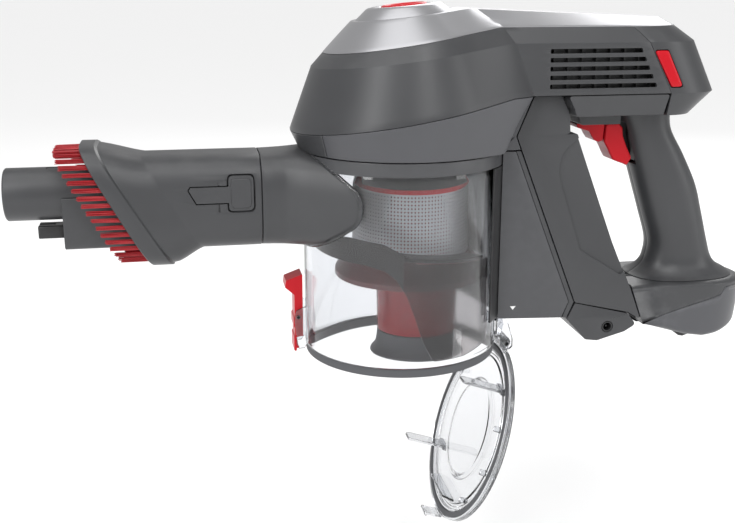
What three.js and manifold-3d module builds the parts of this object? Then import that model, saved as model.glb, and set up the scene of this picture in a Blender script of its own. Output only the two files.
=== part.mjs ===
import * as THREE from 'three';
import { mergeVertices } from 'three/addons/utils/BufferGeometryUtils.js';
import Module from 'manifold-3d';

// Cordless handheld vacuum with a cyclone bin, a sliding dusting brush and a D-shaped handle.
// Millimetres. Inside this file the bin's axis is Z and z = 0 is the underside of the bin's seal.
// The nozzle points to -X and the handle to +X. The exported group is moved so that its origin
// is at the middle of the hand grip.

const wasm = await Module();
wasm.setup();

// ---------------------------------------------------------------- driving dimensions

const gap = 0.3; // between touching pieces
const wall = 2.6; // casing walls
const reach = 400; // longer than the whole object, for cutting shapes

// dust bin, seal and lid
const binRadius = 59;
const binWall = 2.2;
const binSides = 40; // flats round the bin's circle
const binTop = 116.4;
const sealHeight = 5.5;
const collarRadius = binRadius + 2;
const collarTop = 124.7;
const hingeX = binRadius + 6;
const hingeZ = 1;
const hingePinRadius = 1.6;
const lidRadius = binRadius + 1;
const lidThickness = 2.4;
const lidHang = 71; // degrees from shut to hanging open
const finLength = 25;
const finThickness = 1.6;
const earGap = 0.4; // between the ears and what turns between them
const earThickness = 2;

// cyclone inside the bin
const shroudX = 6;
const coneX = 10.4;
const meshRadius = 36;
const coreRadius = 33; // bore of the rings that carry the mesh
const skirtRadius = 46;
const coneRadius = 24;

// latch on the front of the bin
const latchPivotX = -binRadius - 5.2;
const latchPivotZ = 24;
const latchHalfWidth = 7;
const latchTop = 50.5;
const latchPinRadius = 1.2;

// inlet duct, nozzle tube and sliding brush
const ductZ = 98;
const ductHalf = 27;
const ductEnd = -85;
const tubeRadius = 15;
const tubeWall = 2;
const tubeZ = 103.5;
const portZ = ductZ;
const portRadius = 15;
const tubeEnd = -227.2;
const tubeStop = -74; // how far the tube reaches into the duct
const socketFace = -195.6;
const prongEnd = -210.7;
const socketHalfWidth = tubeRadius + 1.5;
const socketBottom = tubeZ - tubeRadius - 15;
const prongTop = tubeZ - tubeRadius - 2.8;
const prongHeight = 7.3;
const flangeTop = -185;
const flangeBottom = -147;
const flangeHigh = 132;
const flangeLow = 61.6;
const flangeHalfWidth = 31;
const bristleLength = 15.5;
const bristleInset = 1.6;
const bristleDepth = 3.4;

// upper body: planes that rise towards the back and then run level
const lowerSeam = { slope: 0.172, rise: 147.2, level: 156.5 };
const creaseLine = { slope: 0.13, rise: 178.7, level: 185.8 };
const coverLine = { slope: 0.16, rise: 187, level: 194.7 };
const bodyRadius = 66;
const boxHalfWidth = 36.5;
const boxEnd = 190;
const neckHalfWidth = 39.3;
const splitTop = 128;
const splitBottom = 152;
const keelBottom = 136.6;
const keelEnd = 131;

// vent slots in both sides of the casing
const ventCount = 5;
const ventStart = 78;
const ventEnd = 143;
const ventSetback = 2.3; // how much shorter each slot is than the one below it
const ventBottom = 160.4;
const ventPitch = 4.9;
const ventHeight = 2.4;

// mode button on the top boss
const bossX = 1;
const bossZ = 205.2;
const bossTilt = -5.3;
const modeRingRadius = 13.5;
const modeButtonRadius = 9;

// motor, fan and filters
const motorRadius = 27;
const motorBottom = 152.3;
const motorTop = 187;
const fanRadius = 34;
const fanBottom = 143;
const fanBlades = 7;
const fanHousingRadius = fanRadius + 6;
const shaftRadius = 2.5;
const filterRadius = 48;

// spine, battery and its foot; the battery slides out along the slope
const slope = new THREE.Vector2(0.369, -0.929).normalize();
const columnHalfWidth = 29.5;
const packFront = new THREE.Vector2(62, 133); // where the pack's front face meets the casing
const packDepth = 34.4;
const packWall = 1.6;
const packTop = 155.9;
const footSeam = 30.2;
const cellRadius = (columnHalfWidth - packWall) / 3 - gap;
const cellLength = 65;
const boardThickness = 1.6;
const chargeX = 125;
const chargeZ = 13.3;
const spineBore = binRadius + 2.4;
const spineFoot = 24.2;
const linerHalfAngle = 41;

// handle
const gripHalfWidth = 16;
const screwHeadDepth = 3.6; // below the grip's side
const screwHeadRadius = 2.8;
const screwShankRadius = 1.4;
const gripBottom = 38.6;
const gripTop = 143.3;
const baseHalfWidth = 29.5;
const baseEnd = 224.7;
const triggerHalfWidth = 8;
const gripCentre = new THREE.Vector3(171, 0, 88);

// ---------------------------------------------------------------- solids from three.js shapes

function solidOf(geometry) {
  const bare = geometry.index ? geometry.toNonIndexed() : geometry.clone();
  bare.deleteAttribute('normal');
  bare.deleteAttribute('uv');
  const merged = mergeVertices(bare, 1e-4);
  const mesh = new wasm.Mesh({
    numProp: 3,
    vertProperties: new Float32Array(merged.attributes.position.array),
    triVerts: new Uint32Array(merged.index.array),
  });
  return new wasm.Manifold(mesh);
}

function geometryOf(solid) {
  const mesh = solid.getMesh();
  const geometry = new THREE.BufferGeometry();
  geometry.setAttribute('position', new THREE.BufferAttribute(mesh.vertProperties, 3));
  geometry.setIndex(new THREE.BufferAttribute(mesh.triVerts, 1));
  return geometry;
}

const shapeOf = (points) => new THREE.Shape(points.map(([a, b]) => new THREE.Vector2(a, b)));

const flatExtrude = (points, depth) =>
  new THREE.ExtrudeGeometry(shapeOf(points), { depth, bevelEnabled: false, curveSegments: 12 });

// an outline in X and Z, extruded from y = low to y = high
function alongY(points, low, high) {
  const geometry = flatExtrude(points, high - low);
  return solidOf(geometry.rotateX(Math.PI / 2).translate(0, high, 0));
}

// an outline in X and Y, extruded from z = low to z = high
function alongZ(points, low, high) {
  return solidOf(flatExtrude(points, high - low).translate(0, 0, low));
}

function block(x0, x1, y0, y1, z0, z1) {
  const geometry = new THREE.BoxGeometry(x1 - x0, y1 - y0, z1 - z0);
  return solidOf(geometry.translate((x0 + x1) / 2, (y0 + y1) / 2, (z0 + z1) / 2));
}

// a profile of [radius, z] points turned about a vertical axis at x, in either direction
function turned(profile, x = 0, segments = 28) {
  const points = profile.map(([r, z]) => new THREE.Vector2(r, z));
  if (THREE.ShapeUtils.area(points) < 0) points.reverse();
  return solidOf(new THREE.LatheGeometry(points, segments).rotateX(Math.PI / 2).translate(x, 0, 0));
}

// a closed ring profile turned about a vertical axis
const turnedRing = (inner, outer, low, high, x = 0, segments = 28) =>
  turned([[inner, low], [outer, low], [outer, high], [inner, high], [inner, low]], x, segments);

const cylinderZ = (radius, low, high, x = 0, segments = 28) =>
  turned([[0, low], [radius, low], [radius, high], [0, high]], x, segments);

function cylinderX(radius, x0, x1, y, z, segments = 24) {
  const geometry = new THREE.CylinderGeometry(radius, radius, x1 - x0, segments);
  return solidOf(geometry.rotateZ(Math.PI / 2).translate((x0 + x1) / 2, y, z));
}

function cylinderY(radius, y0, y1, x, z, segments = 16) {
  const geometry = new THREE.CylinderGeometry(radius, radius, y1 - y0, segments);
  return solidOf(geometry.translate(x, (y0 + y1) / 2, z));
}

// a skin over rings of points; every ring has the same even number of points and is symmetric,
// so that point i faces point (count - i)
function loft(rings) {
  const count = rings[0].length;
  const positions = [];
  const triangle = (a, b, c) => positions.push(...a.toArray(), ...b.toArray(), ...c.toArray());
  for (let k = 0; k + 1 < rings.length; k += 1) {
    for (let i = 0; i < count; i += 1) {
      const j = (i + 1) % count;
      triangle(rings[k][i], rings[k][j], rings[k + 1][j]);
      triangle(rings[k][i], rings[k + 1][j], rings[k + 1][i]);
    }
  }
  // each end is closed by strips that join a point to the one opposite it
  const last = rings[rings.length - 1];
  for (let i = 0; i < count / 2; i += 1) {
    const opposite = (count - i) % count;
    const nextOpposite = count - i - 1;
    if (opposite !== i) {
      triangle(rings[0][i], rings[0][opposite], rings[0][nextOpposite]);
      triangle(last[i], last[nextOpposite], last[opposite]);
    }
    if (nextOpposite !== i + 1) {
      triangle(rings[0][i], rings[0][nextOpposite], rings[0][i + 1]);
      triangle(last[i], last[i + 1], last[nextOpposite]);
    }
  }
  const geometry = new THREE.BufferGeometry();
  geometry.setAttribute('position', new THREE.Float32BufferAttribute(positions, 3));
  return solidOf(geometry);
}

const power = (value, exponent) => Math.sign(value) * Math.abs(value) ** exponent;

// a rounded rectangle as a superellipse; square = 2 is an ellipse and larger is squarer
function superellipse(halfA, halfB, square, count) {
  return Array.from({ length: count }, (_, i) => {
    const t = (i / count) * 2 * Math.PI;
    return [halfA * power(Math.cos(t), 2 / square), halfB * power(Math.sin(t), 2 / square)];
  });
}

// everything below a line of [x, z] points
const halfSpaceBelow = (line) =>
  alongY([...line, [line.at(-1)[0], -reach], [line[0][0], -reach]], -reach, reach);

// ---------------------------------------------------------------- the object and its materials

const assembly = new THREE.Group();
assembly.position.copy(gripCentre).negate();

const finish = (color, roughness, metalness = 0, more = {}) =>
  new THREE.MeshStandardMaterial({ color, roughness, metalness, ...more });
const clearFinish = { transparent: true, opacity: 0.3 };

function add(name, solid, material, parent = assembly) {
  const mesh = new THREE.Mesh(geometryOf(solid), material);
  mesh.name = name;
  parent.add(mesh);
}

// ---------------------------------------------------------------- upper body

const seamHeight = (line, x, shift = 0) => Math.min(line.rise + line.slope * x, line.level) + shift;

// the edge of a seam as points in X and Z, from front to back
const seamPoints = (line, shift) => {
  const bend = (line.level - line.rise) / line.slope;
  return [-reach, bend, reach].map((x) => [x, seamHeight(line, x, shift)]);
};

// half of the body's outline seen from above, then mirrored: a round front, a flat-sided box
// and a rounded back
function bodyOutline({ rx, ry, corner, half, straight, end }) {
  const side = [];
  const sweep = 12;
  for (let i = 0; i <= sweep; i += 1) {
    const angle = THREE.MathUtils.degToRad(180 + (118 * i) / sweep);
    side.push([rx * Math.cos(angle), ry * Math.sin(angle)]);
  }
  const from = side.at(-1);
  for (let i = 1; i <= 3; i += 1) {
    const t = i / 3;
    const bulge = 2.5 * 4 * t * (1 - t);
    side.push([from[0] + (corner - from[0]) * t, from[1] + (-half - from[1]) * t - bulge]);
  }
  side.push([corner + (straight - corner) * 0.25, -half]);
  const steps = 7;
  for (let i = 0; i < steps; i += 1) {
    const t = (i / steps) * (Math.PI / 2);
    side.push([straight + (end - straight) * power(Math.sin(t), 0.8), -half * power(Math.cos(t), 0.8)]);
  }
  side.push([end, 0]);
  const mirrored = side.slice(1, -1).reverse().map(([x, y]) => [x, -y]);
  return [...side, ...mirrored];
}

const ringAt = (outline, height) => outline.map(([x, y]) => new THREE.Vector3(x, y, height(x)));

const plateau = (x) => Math.min(200.5 + 0.117 * x, 206 - 0.046 * x);
const ridge = (x) => Math.min(201.2 + 0.117 * x, 206.4 - 0.046 * x);
const lowerEdge = (x) => THREE.MathUtils.clamp(124.9 + (x - 50) * 0.6, 124.9, 143.6);

// the body's outer skin, or with inset > 0 the cavity inside its walls
function bodySkin(inset) {
  const drop = inset * 0.9;
  const shrink = (o) => bodyOutline({
    rx: o.rx - inset,
    ry: o.ry - inset,
    corner: o.corner - inset * 0.3,
    half: o.half - inset,
    straight: o.straight,
    end: o.end - inset,
  });
  const foot = { rx: 61, ry: 61, corner: 62, half: boxHalfWidth - 3, straight: 149, end: boxEnd - 15 };
  const round = { rx: bodyRadius, ry: bodyRadius };
  const waist = { ...round, corner: 69, half: boxHalfWidth, straight: 151, end: boxEnd };
  const shoulder = { rx: 53, ry: 56, corner: 57.5, half: 34.5, straight: 138, end: boxEnd - 14 };
  const edge = { rx: 46, ry: 51, corner: 51, half: 31.5, straight: 129, end: boxEnd - 27 };
  const top = { rx: 30, ry: 33, corner: 40, half: 16, straight: 118, end: boxEnd - 33 };
  const crest = { rx: 12, ry: 6, corner: 20, half: 3, straight: 100, end: boxEnd - 45 };
  const start = inset > 0 ? -20 : 0;
  return loft([
    ringAt(shrink(foot), (x) => lowerEdge(x) + start),
    ringAt(shrink(waist), (x) => seamHeight(lowerSeam, x)),
    ringAt(shrink(shoulder), (x) => seamHeight(creaseLine, x, -drop * 0.4)),
    ringAt(shrink(edge), (x) => seamHeight(coverLine, x, -drop * 0.8)),
    ringAt(shrink(top), (x) => plateau(x) - drop),
    ringAt(bodyOutline(crest), (x) => ridge(x) - drop),
  ]);
}

const skin = bodySkin(0);
const cavity = bodySkin(wall);
const split = [
  [splitTop, 230], [splitTop, coverLine.level], [137, 184.9], [splitBottom, lowerSeam.level],
  [splitBottom - 2, 120],
];
const behindSplit = (shift) =>
  alongY([...split.map(([x, z]) => [x + shift, z]), [reach, 120], [reach, 230]], -reach, reach);

const belowCover = halfSpaceBelow(seamPoints(coverLine, -gap / 2));
const belowCoverGap = halfSpaceBelow(seamPoints(coverLine, gap / 2));
const belowSeam = halfSpaceBelow(seamPoints(lowerSeam, -gap / 2));
const belowSeamGap = halfSpaceBelow(seamPoints(lowerSeam, gap / 2));

const rimTilt = new THREE.Matrix4()
  .makeRotationY(THREE.MathUtils.degToRad(bossTilt))
  .setPosition(bossX, 0, bossZ);
const onBoss = (solid) => solidOf(geometryOf(solid).applyMatrix4(rimTilt));

function ventSlots(side) {
  const slots = Array.from({ length: ventCount }, (_, i) => {
    const low = ventBottom + i * ventPitch;
    const end = ventEnd - i * ventSetback;
    return block(ventStart, end, side > 0 ? 24 : -44, side > 0 ? 44 : -24, low, low + ventHeight);
  });
  return slots.reduce((all, slot) => all.add(slot));
}

function buildUpperBody() {
  const dark = finish(0x4d4f52, 0.5);
  const outer = skin.intersect(belowCover).subtract(belowSeamGap).subtract(behindSplit(-gap / 2));
  add('upper_casing', outer.subtract(cavity).subtract(ventSlots(-1)).subtract(ventSlots(1)), dark);

  const boss = onBoss(turned([[0, -9], [31, -9], [28.5, -4.6], [21.5, 0.6], [20, 1], [0, 1]]));
  const bore = onBoss(cylinderZ(modeRingRadius + gap, -30, 30));
  const hollow = onBoss(cylinderZ(modeRingRadius + 5.5, -20, -2));
  const cover = skin.subtract(belowCoverGap).add(boss.subtract(belowCoverGap));
  add('top_cover', cover.subtract(cavity).subtract(hollow).subtract(bore), finish(0xc4c6ca, 0.32, 0.6));

  const ringProfile = [
    [modeButtonRadius + gap, -5], [modeRingRadius, -5], [modeRingRadius, 1.2], [modeRingRadius - 1.4, 1.9],
    [modeButtonRadius + 1.2, 1.9], [modeButtonRadius + gap, 1], [modeButtonRadius + gap, -5],
  ];
  add('mode_ring', onBoss(turned(ringProfile, 0, 24)), finish(0xc8202c, 0.3));
  const buttonProfile = [
    [0, -5.5], [modeButtonRadius, -5.5], [modeButtonRadius, 0.6], [modeButtonRadius - 1, 1.2], [0, 1.5],
  ];
  add('mode_button', onBoss(turned(buttonProfile, 0, 24)), finish(0x2c2d30, 0.4));
}

function buildRearCap() {
  const dark = finish(0x4a4c4f, 0.5);
  const outer = skin.intersect(behindSplit(gap / 2)).intersect(belowCover);
  let cap = outer.subtract(cavity);
  const buttonOutline = [[140.4, 181.2], [149.5, 181.2], [159.6, 160.2], [151.7, 160.2]];
  const buttonHole = [[140.0, 181.6], [149.8, 181.6], [160.2, 159.8], [151.3, 159.8]];
  [-1, 1].forEach((side) => {
    const low = side < 0 ? -reach : 20;
    const high = side < 0 ? -20 : reach;
    cap = cap.subtract(alongY(buttonHole, low, high));
    const proud = skin.translate([0, side * 0.8, 0]);
    const inside = cavity.translate([0, side * -0.6, 0]);
    const button = alongY(buttonOutline, low, high).intersect(proud).subtract(inside);
    add(side < 0 ? 'side_button_left' : 'side_button_right', button, finish(0xd3222c, 0.3));
  });
  add('rear_cap', cap, dark);
  const filter = block(splitTop - 24, 166, -22, 22, 161, 182);
  add('exhaust_filter', filter, finish(0xe4e2da, 0.95));
}

// ---------------------------------------------------------------- lower body: band, collar, bridge

function buildLowerBody() {
  const bandSkin = skin.intersect(belowSeam).subtract(cavity);
  const bandEnd = [[52, 110], [52, 124.7], [68.4, 155.8], [68.4, 170], [-reach, 170], [-reach, 110]];
  const band = bandSkin.intersect(alongY(bandEnd, -reach, reach));
  const front = block(-reach, 0, -neckHalfWidth, neckHalfWidth, 0, reach);
  const frontGap = block(-reach, 0, -neckHalfWidth - gap, neckHalfWidth + gap, 0, reach);
  const saddleDepth = 1.1;
  const behindSaddle = bodySkin(saddleDepth + gap);
  add('lower_band', band.subtract(frontGap.subtract(behindSaddle)), finish(0x66686d, 0.45));
  add('neck_saddle', band.intersect(front).subtract(bodySkin(saddleDepth)), finish(0x46484b, 0.5));
  const collar = turnedRing(collarRadius - 9, collarRadius - 0.2, binTop + gap, collarTop - gap);
  add('bin_collar', collar, finish(0x5d5f63, 0.45));

  const bridgeFront = [[93, 170], [93, 155.9], [100.2, 147], [101.4, 142], [reach, 142], [reach, 170]];
  const behindBand = alongY(bridgeFront, -reach, reach);
  const bridgeSkin = skin.intersect(belowSeam).intersect(behindBand).subtract(behindSplit(-gap / 2));
  const tray = block(104, 146, -30, 30, 145.4, reach);
  const keel = [[103, 145.2], [105.6, 137.4], [107, keelBottom], [keelEnd, keelBottom], [keelEnd, 145.2]];
  const keelSolid = alongY(keel, -gripHalfWidth, gripHalfWidth);
  add('rear_bridge', bridgeSkin.add(keelSolid).subtract(tray), finish(0x4b4d50, 0.5));
}

// ---------------------------------------------------------------- spine and battery pack

const alongSlope = (point, distance, out = 0) =>
  [point.x + slope.x * distance - slope.y * out, point.y + slope.y * distance + slope.x * out];

const packLength = (packFront.y - footSeam) / -slope.y;
const packFrontFoot = alongSlope(packFront, packLength);
const packHeel = [138.2, 38];
const packToe = [146.8, 16.4];
const packOutline = [
  [71.4, packTop], [88.2, packTop], alongSlope(packFront, -2, packDepth),
  alongSlope(packFront, 85, packDepth), packHeel, packToe, [138.1, 21.8], packFrontFoot,
  [packFront.x, packFront.y],
];

function buildSpine() {
  const outline = [
    [42, spineFoot], [42, collarTop + gap], [51, collarTop + gap], [68, packTop],
    [packOutline[0][0] - gap, packTop],
    [packFront.x - gap, packFront.y], [packFrontFoot[0] - gap, packFrontFoot[1]], [98.2, 20], [56, 22.6],
  ];
  const binRoom = cylinderZ(spineBore, -reach, collarTop, 0, binSides);
  const bandRoom = alongY([[-10, 124], [50.4, 124], [67.6, 156.5], [-10, 170]], -reach, reach);
  const bodyRoom = cylinderZ(collarRadius - wall, collarTop, packTop + 5);
  const solid = alongY(outline, -columnHalfWidth, columnHalfWidth);
  const halfButton = 10;
  const hole = alongY([[71.6, 15], [88.4, 15], [88.4, 30], [71.6, 30]], -halfButton - gap, halfButton + gap);
  const column = solid.subtract(binRoom).subtract(bandRoom).subtract(bodyRoom).subtract(hole);
  add('spine', column, finish(0x616368, 0.48));
  const button = [[72, 19], [88, 18.2], [88, 26], [72, 26]];
  add('bin_release_button', alongY(button, -halfButton, halfButton), finish(0x3a3b3e, 0.5));

  const half = THREE.MathUtils.degToRad(linerHalfAngle);
  const arc = (radius, from, to) => Array.from({ length: 17 }, (_, i) => {
    const angle = from + ((to - from) * i) / 16;
    return [radius * Math.cos(angle), radius * Math.sin(angle)];
  });
  const linerOutline = [...arc(spineBore - gap, -half, half), ...arc(binRadius + 0.5, half, -half)];
  add('spine_liner', alongZ(linerOutline, spineFoot - 0.2, binTop), finish(0x36373a, 0.55));
}

function buildBattery() {
  const pack = alongY(packOutline, -columnHalfWidth, columnHalfWidth);
  const cavityOutline = [
    alongSlope(packFront, -6, packWall), alongSlope(packFront, -6, packDepth - packWall),
    alongSlope(packFront, 84, packDepth - packWall), [132, 8], [98, 8],
    alongSlope(packFront, packLength, packWall),
  ];
  const hollow = alongY(cavityOutline, -columnHalfWidth + packWall, columnHalfWidth - packWall);
  add('battery_case', pack.subtract(hollow), finish(0x4b4d50, 0.55));

  const footOutline = [
    [packFrontFoot[0] + 0.1, packFrontFoot[1] - gap - 0.1], [137.9, 21.3], [143.8, 13.8], [136.3, 9.5],
    [118.8, 4.7], [111, 5.8], [98.6, 19.4],
  ];
  const socketRadius = 3.4;
  const face = -columnHalfWidth;
  const socketRoom = cylinderY(socketRadius + gap, face - 1, face + 9, chargeX, chargeZ);
  const foot = alongY(footOutline, -columnHalfWidth, columnHalfWidth);
  add('battery_foot', foot.subtract(socketRoom), finish(0x505255, 0.5));
  const ring = cylinderY(socketRadius, face + 0.2, face + 8.4, chargeX, chargeZ);
  const jack = cylinderY(2.5, face - 1, face + 7, chargeX, chargeZ);
  const pin = cylinderY(0.8, face + 2, face + 8, chargeX, chargeZ, 12);
  add('charge_socket', ring.subtract(jack).add(pin), finish(0x1c1c1e, 0.4));

  const tray = new THREE.Group();
  const start = alongSlope(packFront, packLength - 2, packDepth / 2);
  tray.position.set(start[0], 0, start[1]);
  tray.rotation.y = Math.atan2(-slope.x, -slope.y);
  assembly.add(tray);
  const cellPitch = 2 * cellRadius + 0.4;
  const cellProfile = [
    [0, 0], [cellRadius, 0], [cellRadius, cellLength - 1], [3, cellLength - 1], [3, cellLength],
    [0, cellLength],
  ];
  for (let i = 0; i < 3; i += 1) {
    const y = (i - 1) * cellPitch;
    const cell = turned(cellProfile, 0, 16).translate([0, y, 0]);
    add(`battery_cell_${i + 1}`, cell, finish(0x2f6fae, 0.4), tray);
  }
  const boardLow = cellLength + 4;
  const boardHalf = columnHalfWidth - 7.5;
  const board = block(-12, 12, -boardHalf, boardHalf, boardLow, boardLow + boardThickness);
  add('battery_board', board, finish(0x1f6b3a, 0.6), tray);
}

// ---------------------------------------------------------------- handle

const gripLevels = [
  { z: gripBottom, front: 149, rear: 217, half: 25 },
  { z: 40.8, front: 153, rear: 214, half: 21 },
  { z: 44.5, front: 157.5, rear: 207.5, half: 17.6 },
  { z: 50, front: 160.2, rear: 203.2, half: gripHalfWidth },
  { z: 61, front: 161, rear: 199.3, half: gripHalfWidth },
  { z: 80, front: 155, rear: 193.8, half: gripHalfWidth },
  { z: 97.2, front: 149.2, rear: 188.3, half: gripHalfWidth },
  { z: 116, front: 143, rear: 178.4, half: gripHalfWidth },
  { z: 131.7, front: 138, rear: 169, half: gripHalfWidth },
  { z: gripTop, front: 132.4, rear: 167.5, half: gripHalfWidth },
];

function gripLoft(inset, count) {
  const levels = inset > 0 ? gripLevels.slice(2) : gripLevels;
  const rings = levels.map(({ z, front, rear, half }) => {
    const height = Math.min(z, gripTop - inset);
    const points = superellipse((rear - front) / 2 - inset, half - inset, 2.6, count);
    return points.map(([a, b]) => new THREE.Vector3((front + rear) / 2 + a, b, height));
  });
  return loft(rings);
}

const triggerOutline = [
  [125.6, 135.9], [124.8, 124.9], [129, 117.4], [129.4, 114.6], [137.6, 111.6], [140.4, 109.6],
  [143.2, 114.6], [137, 128.2], [136.4, 133.2], [134, 135.9],
];

function buildHandle() {
  const dark = finish(0x4b4d50, 0.5);
  const pocketOutline = [[120, 136.5], [146.5, 136.5], [146.5, 128], [152, 108.2], [130, 108.2]];
  const pocketHalf = triggerHalfWidth + 0.5;
  const pocket = alongY(pocketOutline, -pocketHalf, pocketHalf);
  const keelRoom = block(100, keelEnd + gap, -reach, reach, keelBottom - gap, 150);
  const bridgeRoom = block(0, reach, -reach, reach, gripTop, reach);
  const shellSolid = gripLoft(0, 28)
    .subtract(gripLoft(3, 20))
    .subtract(pocket)
    .subtract(keelRoom)
    .subtract(bridgeRoom);
  const screwSpots = [[159, 128], [182, 62]];
  const headFace = gripHalfWidth - screwHeadDepth;
  const headSeat = headFace - 2;
  const union = (solids) => solids.reduce((all, piece) => all.add(piece));
  const shankHole = (low, high) => ([x, z]) => cylinderY(screwShankRadius + 0.5, low, high, x, z);
  const headHole = ([x, z]) => cylinderY(screwHeadRadius + gap, headSeat - 0.4, reach, x, z);
  const rightHoles = union([...screwSpots.map(shankHole(-1, headFace)), ...screwSpots.map(headHole)]);
  const leftHoles = union(screwSpots.map(shankHole(-7, 0)));
  const half = (side) =>
    (side < 0 ? block(0, reach, -reach, -gap / 2, 0, reach) : block(0, reach, gap / 2, reach, 0, reach));
  const postReach = gripHalfWidth - 2.6;
  const posts = union(screwSpots.map(([x, z]) => cylinderY(4.8, -postReach, postReach, x, z, 20)));
  const body = shellSolid.add(posts);
  add('grip_left', body.intersect(half(-1)).subtract(leftHoles), dark);
  add('grip_right', body.intersect(half(1)).subtract(rightHoles), dark);
  screwSpots.forEach(([x, z], i) => {
    const head = cylinderY(screwHeadRadius, headSeat, headFace, x, z);
    const shank = cylinderY(screwShankRadius, -6, headSeat + 0.2, x, z, 12);
    add(`grip_screw_${i + 1}`, head.add(shank), finish(0x8f9194, 0.35, 0.9));
  });

  const trigger = alongY(triggerOutline, -triggerHalfWidth, triggerHalfWidth);
  add('trigger', trigger, finish(0xc41f2a, 0.35));
  const lock = [
    [106.3, keelBottom - gap], [107.6, 133.8], [115.1, 131.5], [118.3, 125.9], [122.4, 125], [124.3, 125.7],
    [124.9, keelBottom - gap],
  ];
  add('trigger_lock', alongY(lock, -triggerHalfWidth + 1, triggerHalfWidth - 1), finish(0xc41f2a, 0.35));
  add('microswitch', block(147.4, 155.4, -3.2, 3.2, 112, 123), finish(0x1b1b1d, 0.6));
}

function buildBase() {
  const side = [
    [139.5, 37.7], [160, 38.3], [218, 38.3], [baseEnd - 0.6, 35.6], [baseEnd, 33], [221.5, 8],
    [200, 3.4], [186, 2.2], [172, 6], [148.5, 13.4],
  ];
  const roundFrom = 190;
  const plan = [[120, -baseHalfWidth]];
  for (let i = 0; i <= 10; i += 1) {
    const angle = (i / 10) * Math.PI - Math.PI / 2;
    plan.push([roundFrom + (baseEnd + 0.5 - roundFrom) * Math.cos(angle), baseHalfWidth * Math.sin(angle)]);
  }
  plan.push([120, baseHalfWidth]);
  const solid = alongY(side, -reach, reach).intersect(alongZ(plan, 0, 60));
  const seam = (shift) => [[100, 13.6], [149, 13.6], [166, 20.6], [200, 29.6], [202.6, 34.6], [reach, 34.6]]
    .map(([x, z]) => [x, z + shift]);
  const upper = solid.subtract(halfSpaceBelow(seam(gap / 2)));
  const lower = solid.intersect(halfSpaceBelow(seam(-gap / 2)));
  add('handle_base', upper.subtract(block(168, 200, -20, 20, 10, 34.6)), finish(0x4b4d50, 0.5));
  add('base_shell', lower.subtract(block(176, 200, -18, 18, 9, 60)), finish(0x6a6c71, 0.45));
  const peg = [[181.4, 1.7], [183.6, -3], [189, -5.4], [193.4, -4], [194.4, 1.7]];
  add('accessory_peg', alongY(peg, -5, 5), finish(0x3c3d40, 0.5));
}

// ---------------------------------------------------------------- motor, fan, filters, boards

function buildMotor() {
  const housing = [
    [8, 139], [fanHousingRadius, 139], [fanHousingRadius, 151.8], [motorRadius - 6, 151.8],
    [motorRadius - 6, 149.8], [fanHousingRadius - 2, 149.8], [fanHousingRadius - 2, 141], [8, 141],
    [8, 139],
  ];
  add('fan_housing', turned(housing, 0, 20), finish(0x2b2c2e, 0.5));
  const can = [
    [shaftRadius + gap, motorBottom], [motorRadius, motorBottom], [motorRadius, motorTop], [6, motorTop],
    [6, motorTop - 2], [motorRadius - 2, motorTop - 2], [motorRadius - 2, motorBottom + 2],
    [shaftRadius + gap, motorBottom + 2], [shaftRadius + gap, motorBottom],
  ];
  add('motor_can', turned(can, 0, 20), finish(0xa6a8ab, 0.35, 0.9));
  add('motor_mount', turnedRing(motorRadius + gap, 36, 160, 167, 0, 20), finish(0x1e1e1f, 0.9));
  const rotor = [
    [0, fanBottom], [shaftRadius, fanBottom], [shaftRadius, motorBottom + 3.5],
    [motorRadius - 8, motorBottom + 3.5], [motorRadius - 8, motorTop - 8], [shaftRadius, motorTop - 8],
    [shaftRadius, motorTop - 1], [0, motorTop - 1],
  ];
  add('motor_rotor', turned(rotor, 0, 16), finish(0x9a6a3a, 0.5, 0.6));
  const plate = turnedRing(shaftRadius + gap, fanRadius, fanBottom, fanBottom + 1.4, 0, 20);
  let fan = plate.add(turnedRing(shaftRadius + gap, 8, fanBottom, fanBottom + 6, 0, 14));
  for (let i = 0; i < fanBlades; i += 1) {
    const blade = block(6, fanRadius - 2, -0.7, 0.7, fanBottom + 1, fanBottom + 5.6);
    fan = fan.add(blade.rotate([0, 0, (360 * i) / fanBlades]));
  }
  add('fan_wheel', fan, finish(0xb8babd, 0.35, 0.9));
  add('motor_filter', turnedRing(8, filterRadius, collarTop + gap, 136.5, 0, 24), finish(0xe8e6df, 0.95));
  add('control_board', block(62, 98, -26, 26, 158.6, 158.6 + boardThickness), finish(0x1f6b3a, 0.6));
}

// ---------------------------------------------------------------- inlet duct, nozzle tube, brush

// a line across the tube's length that leans: its x at two heights gives its x at any height
const leaning = (top, high, bottom, low) => (z) => bottom + ((top - bottom) * (z - low)) / (high - low);
const upright = (x) => () => x;

// a rounded section across the tube's length, with its x read from a leaning line
function crossSection({ at, half, high, low, square = 3.4 }, count = 28) {
  return superellipse(half, (high - low) / 2, square, count).map(([a, b]) => {
    const z = (high + low) / 2 + b;
    return new THREE.Vector3(at(z), a, z);
  });
}

const circleX = (x, z, radius) =>
  superellipse(radius, radius, 2, 24).map(([a, b]) => new THREE.Vector3(x, a, z + b));

const ductSections = [
  { at: ductEnd, half: ductHalf, tall: ductHalf },
  { at: -72, half: ductHalf + 1, tall: ductHalf + 0.4 },
  { at: -60, half: 33, tall: 28 },
  { at: -46, half: 42, tall: 28 },
  { at: -26, half: 53, tall: 27 },
];

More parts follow.
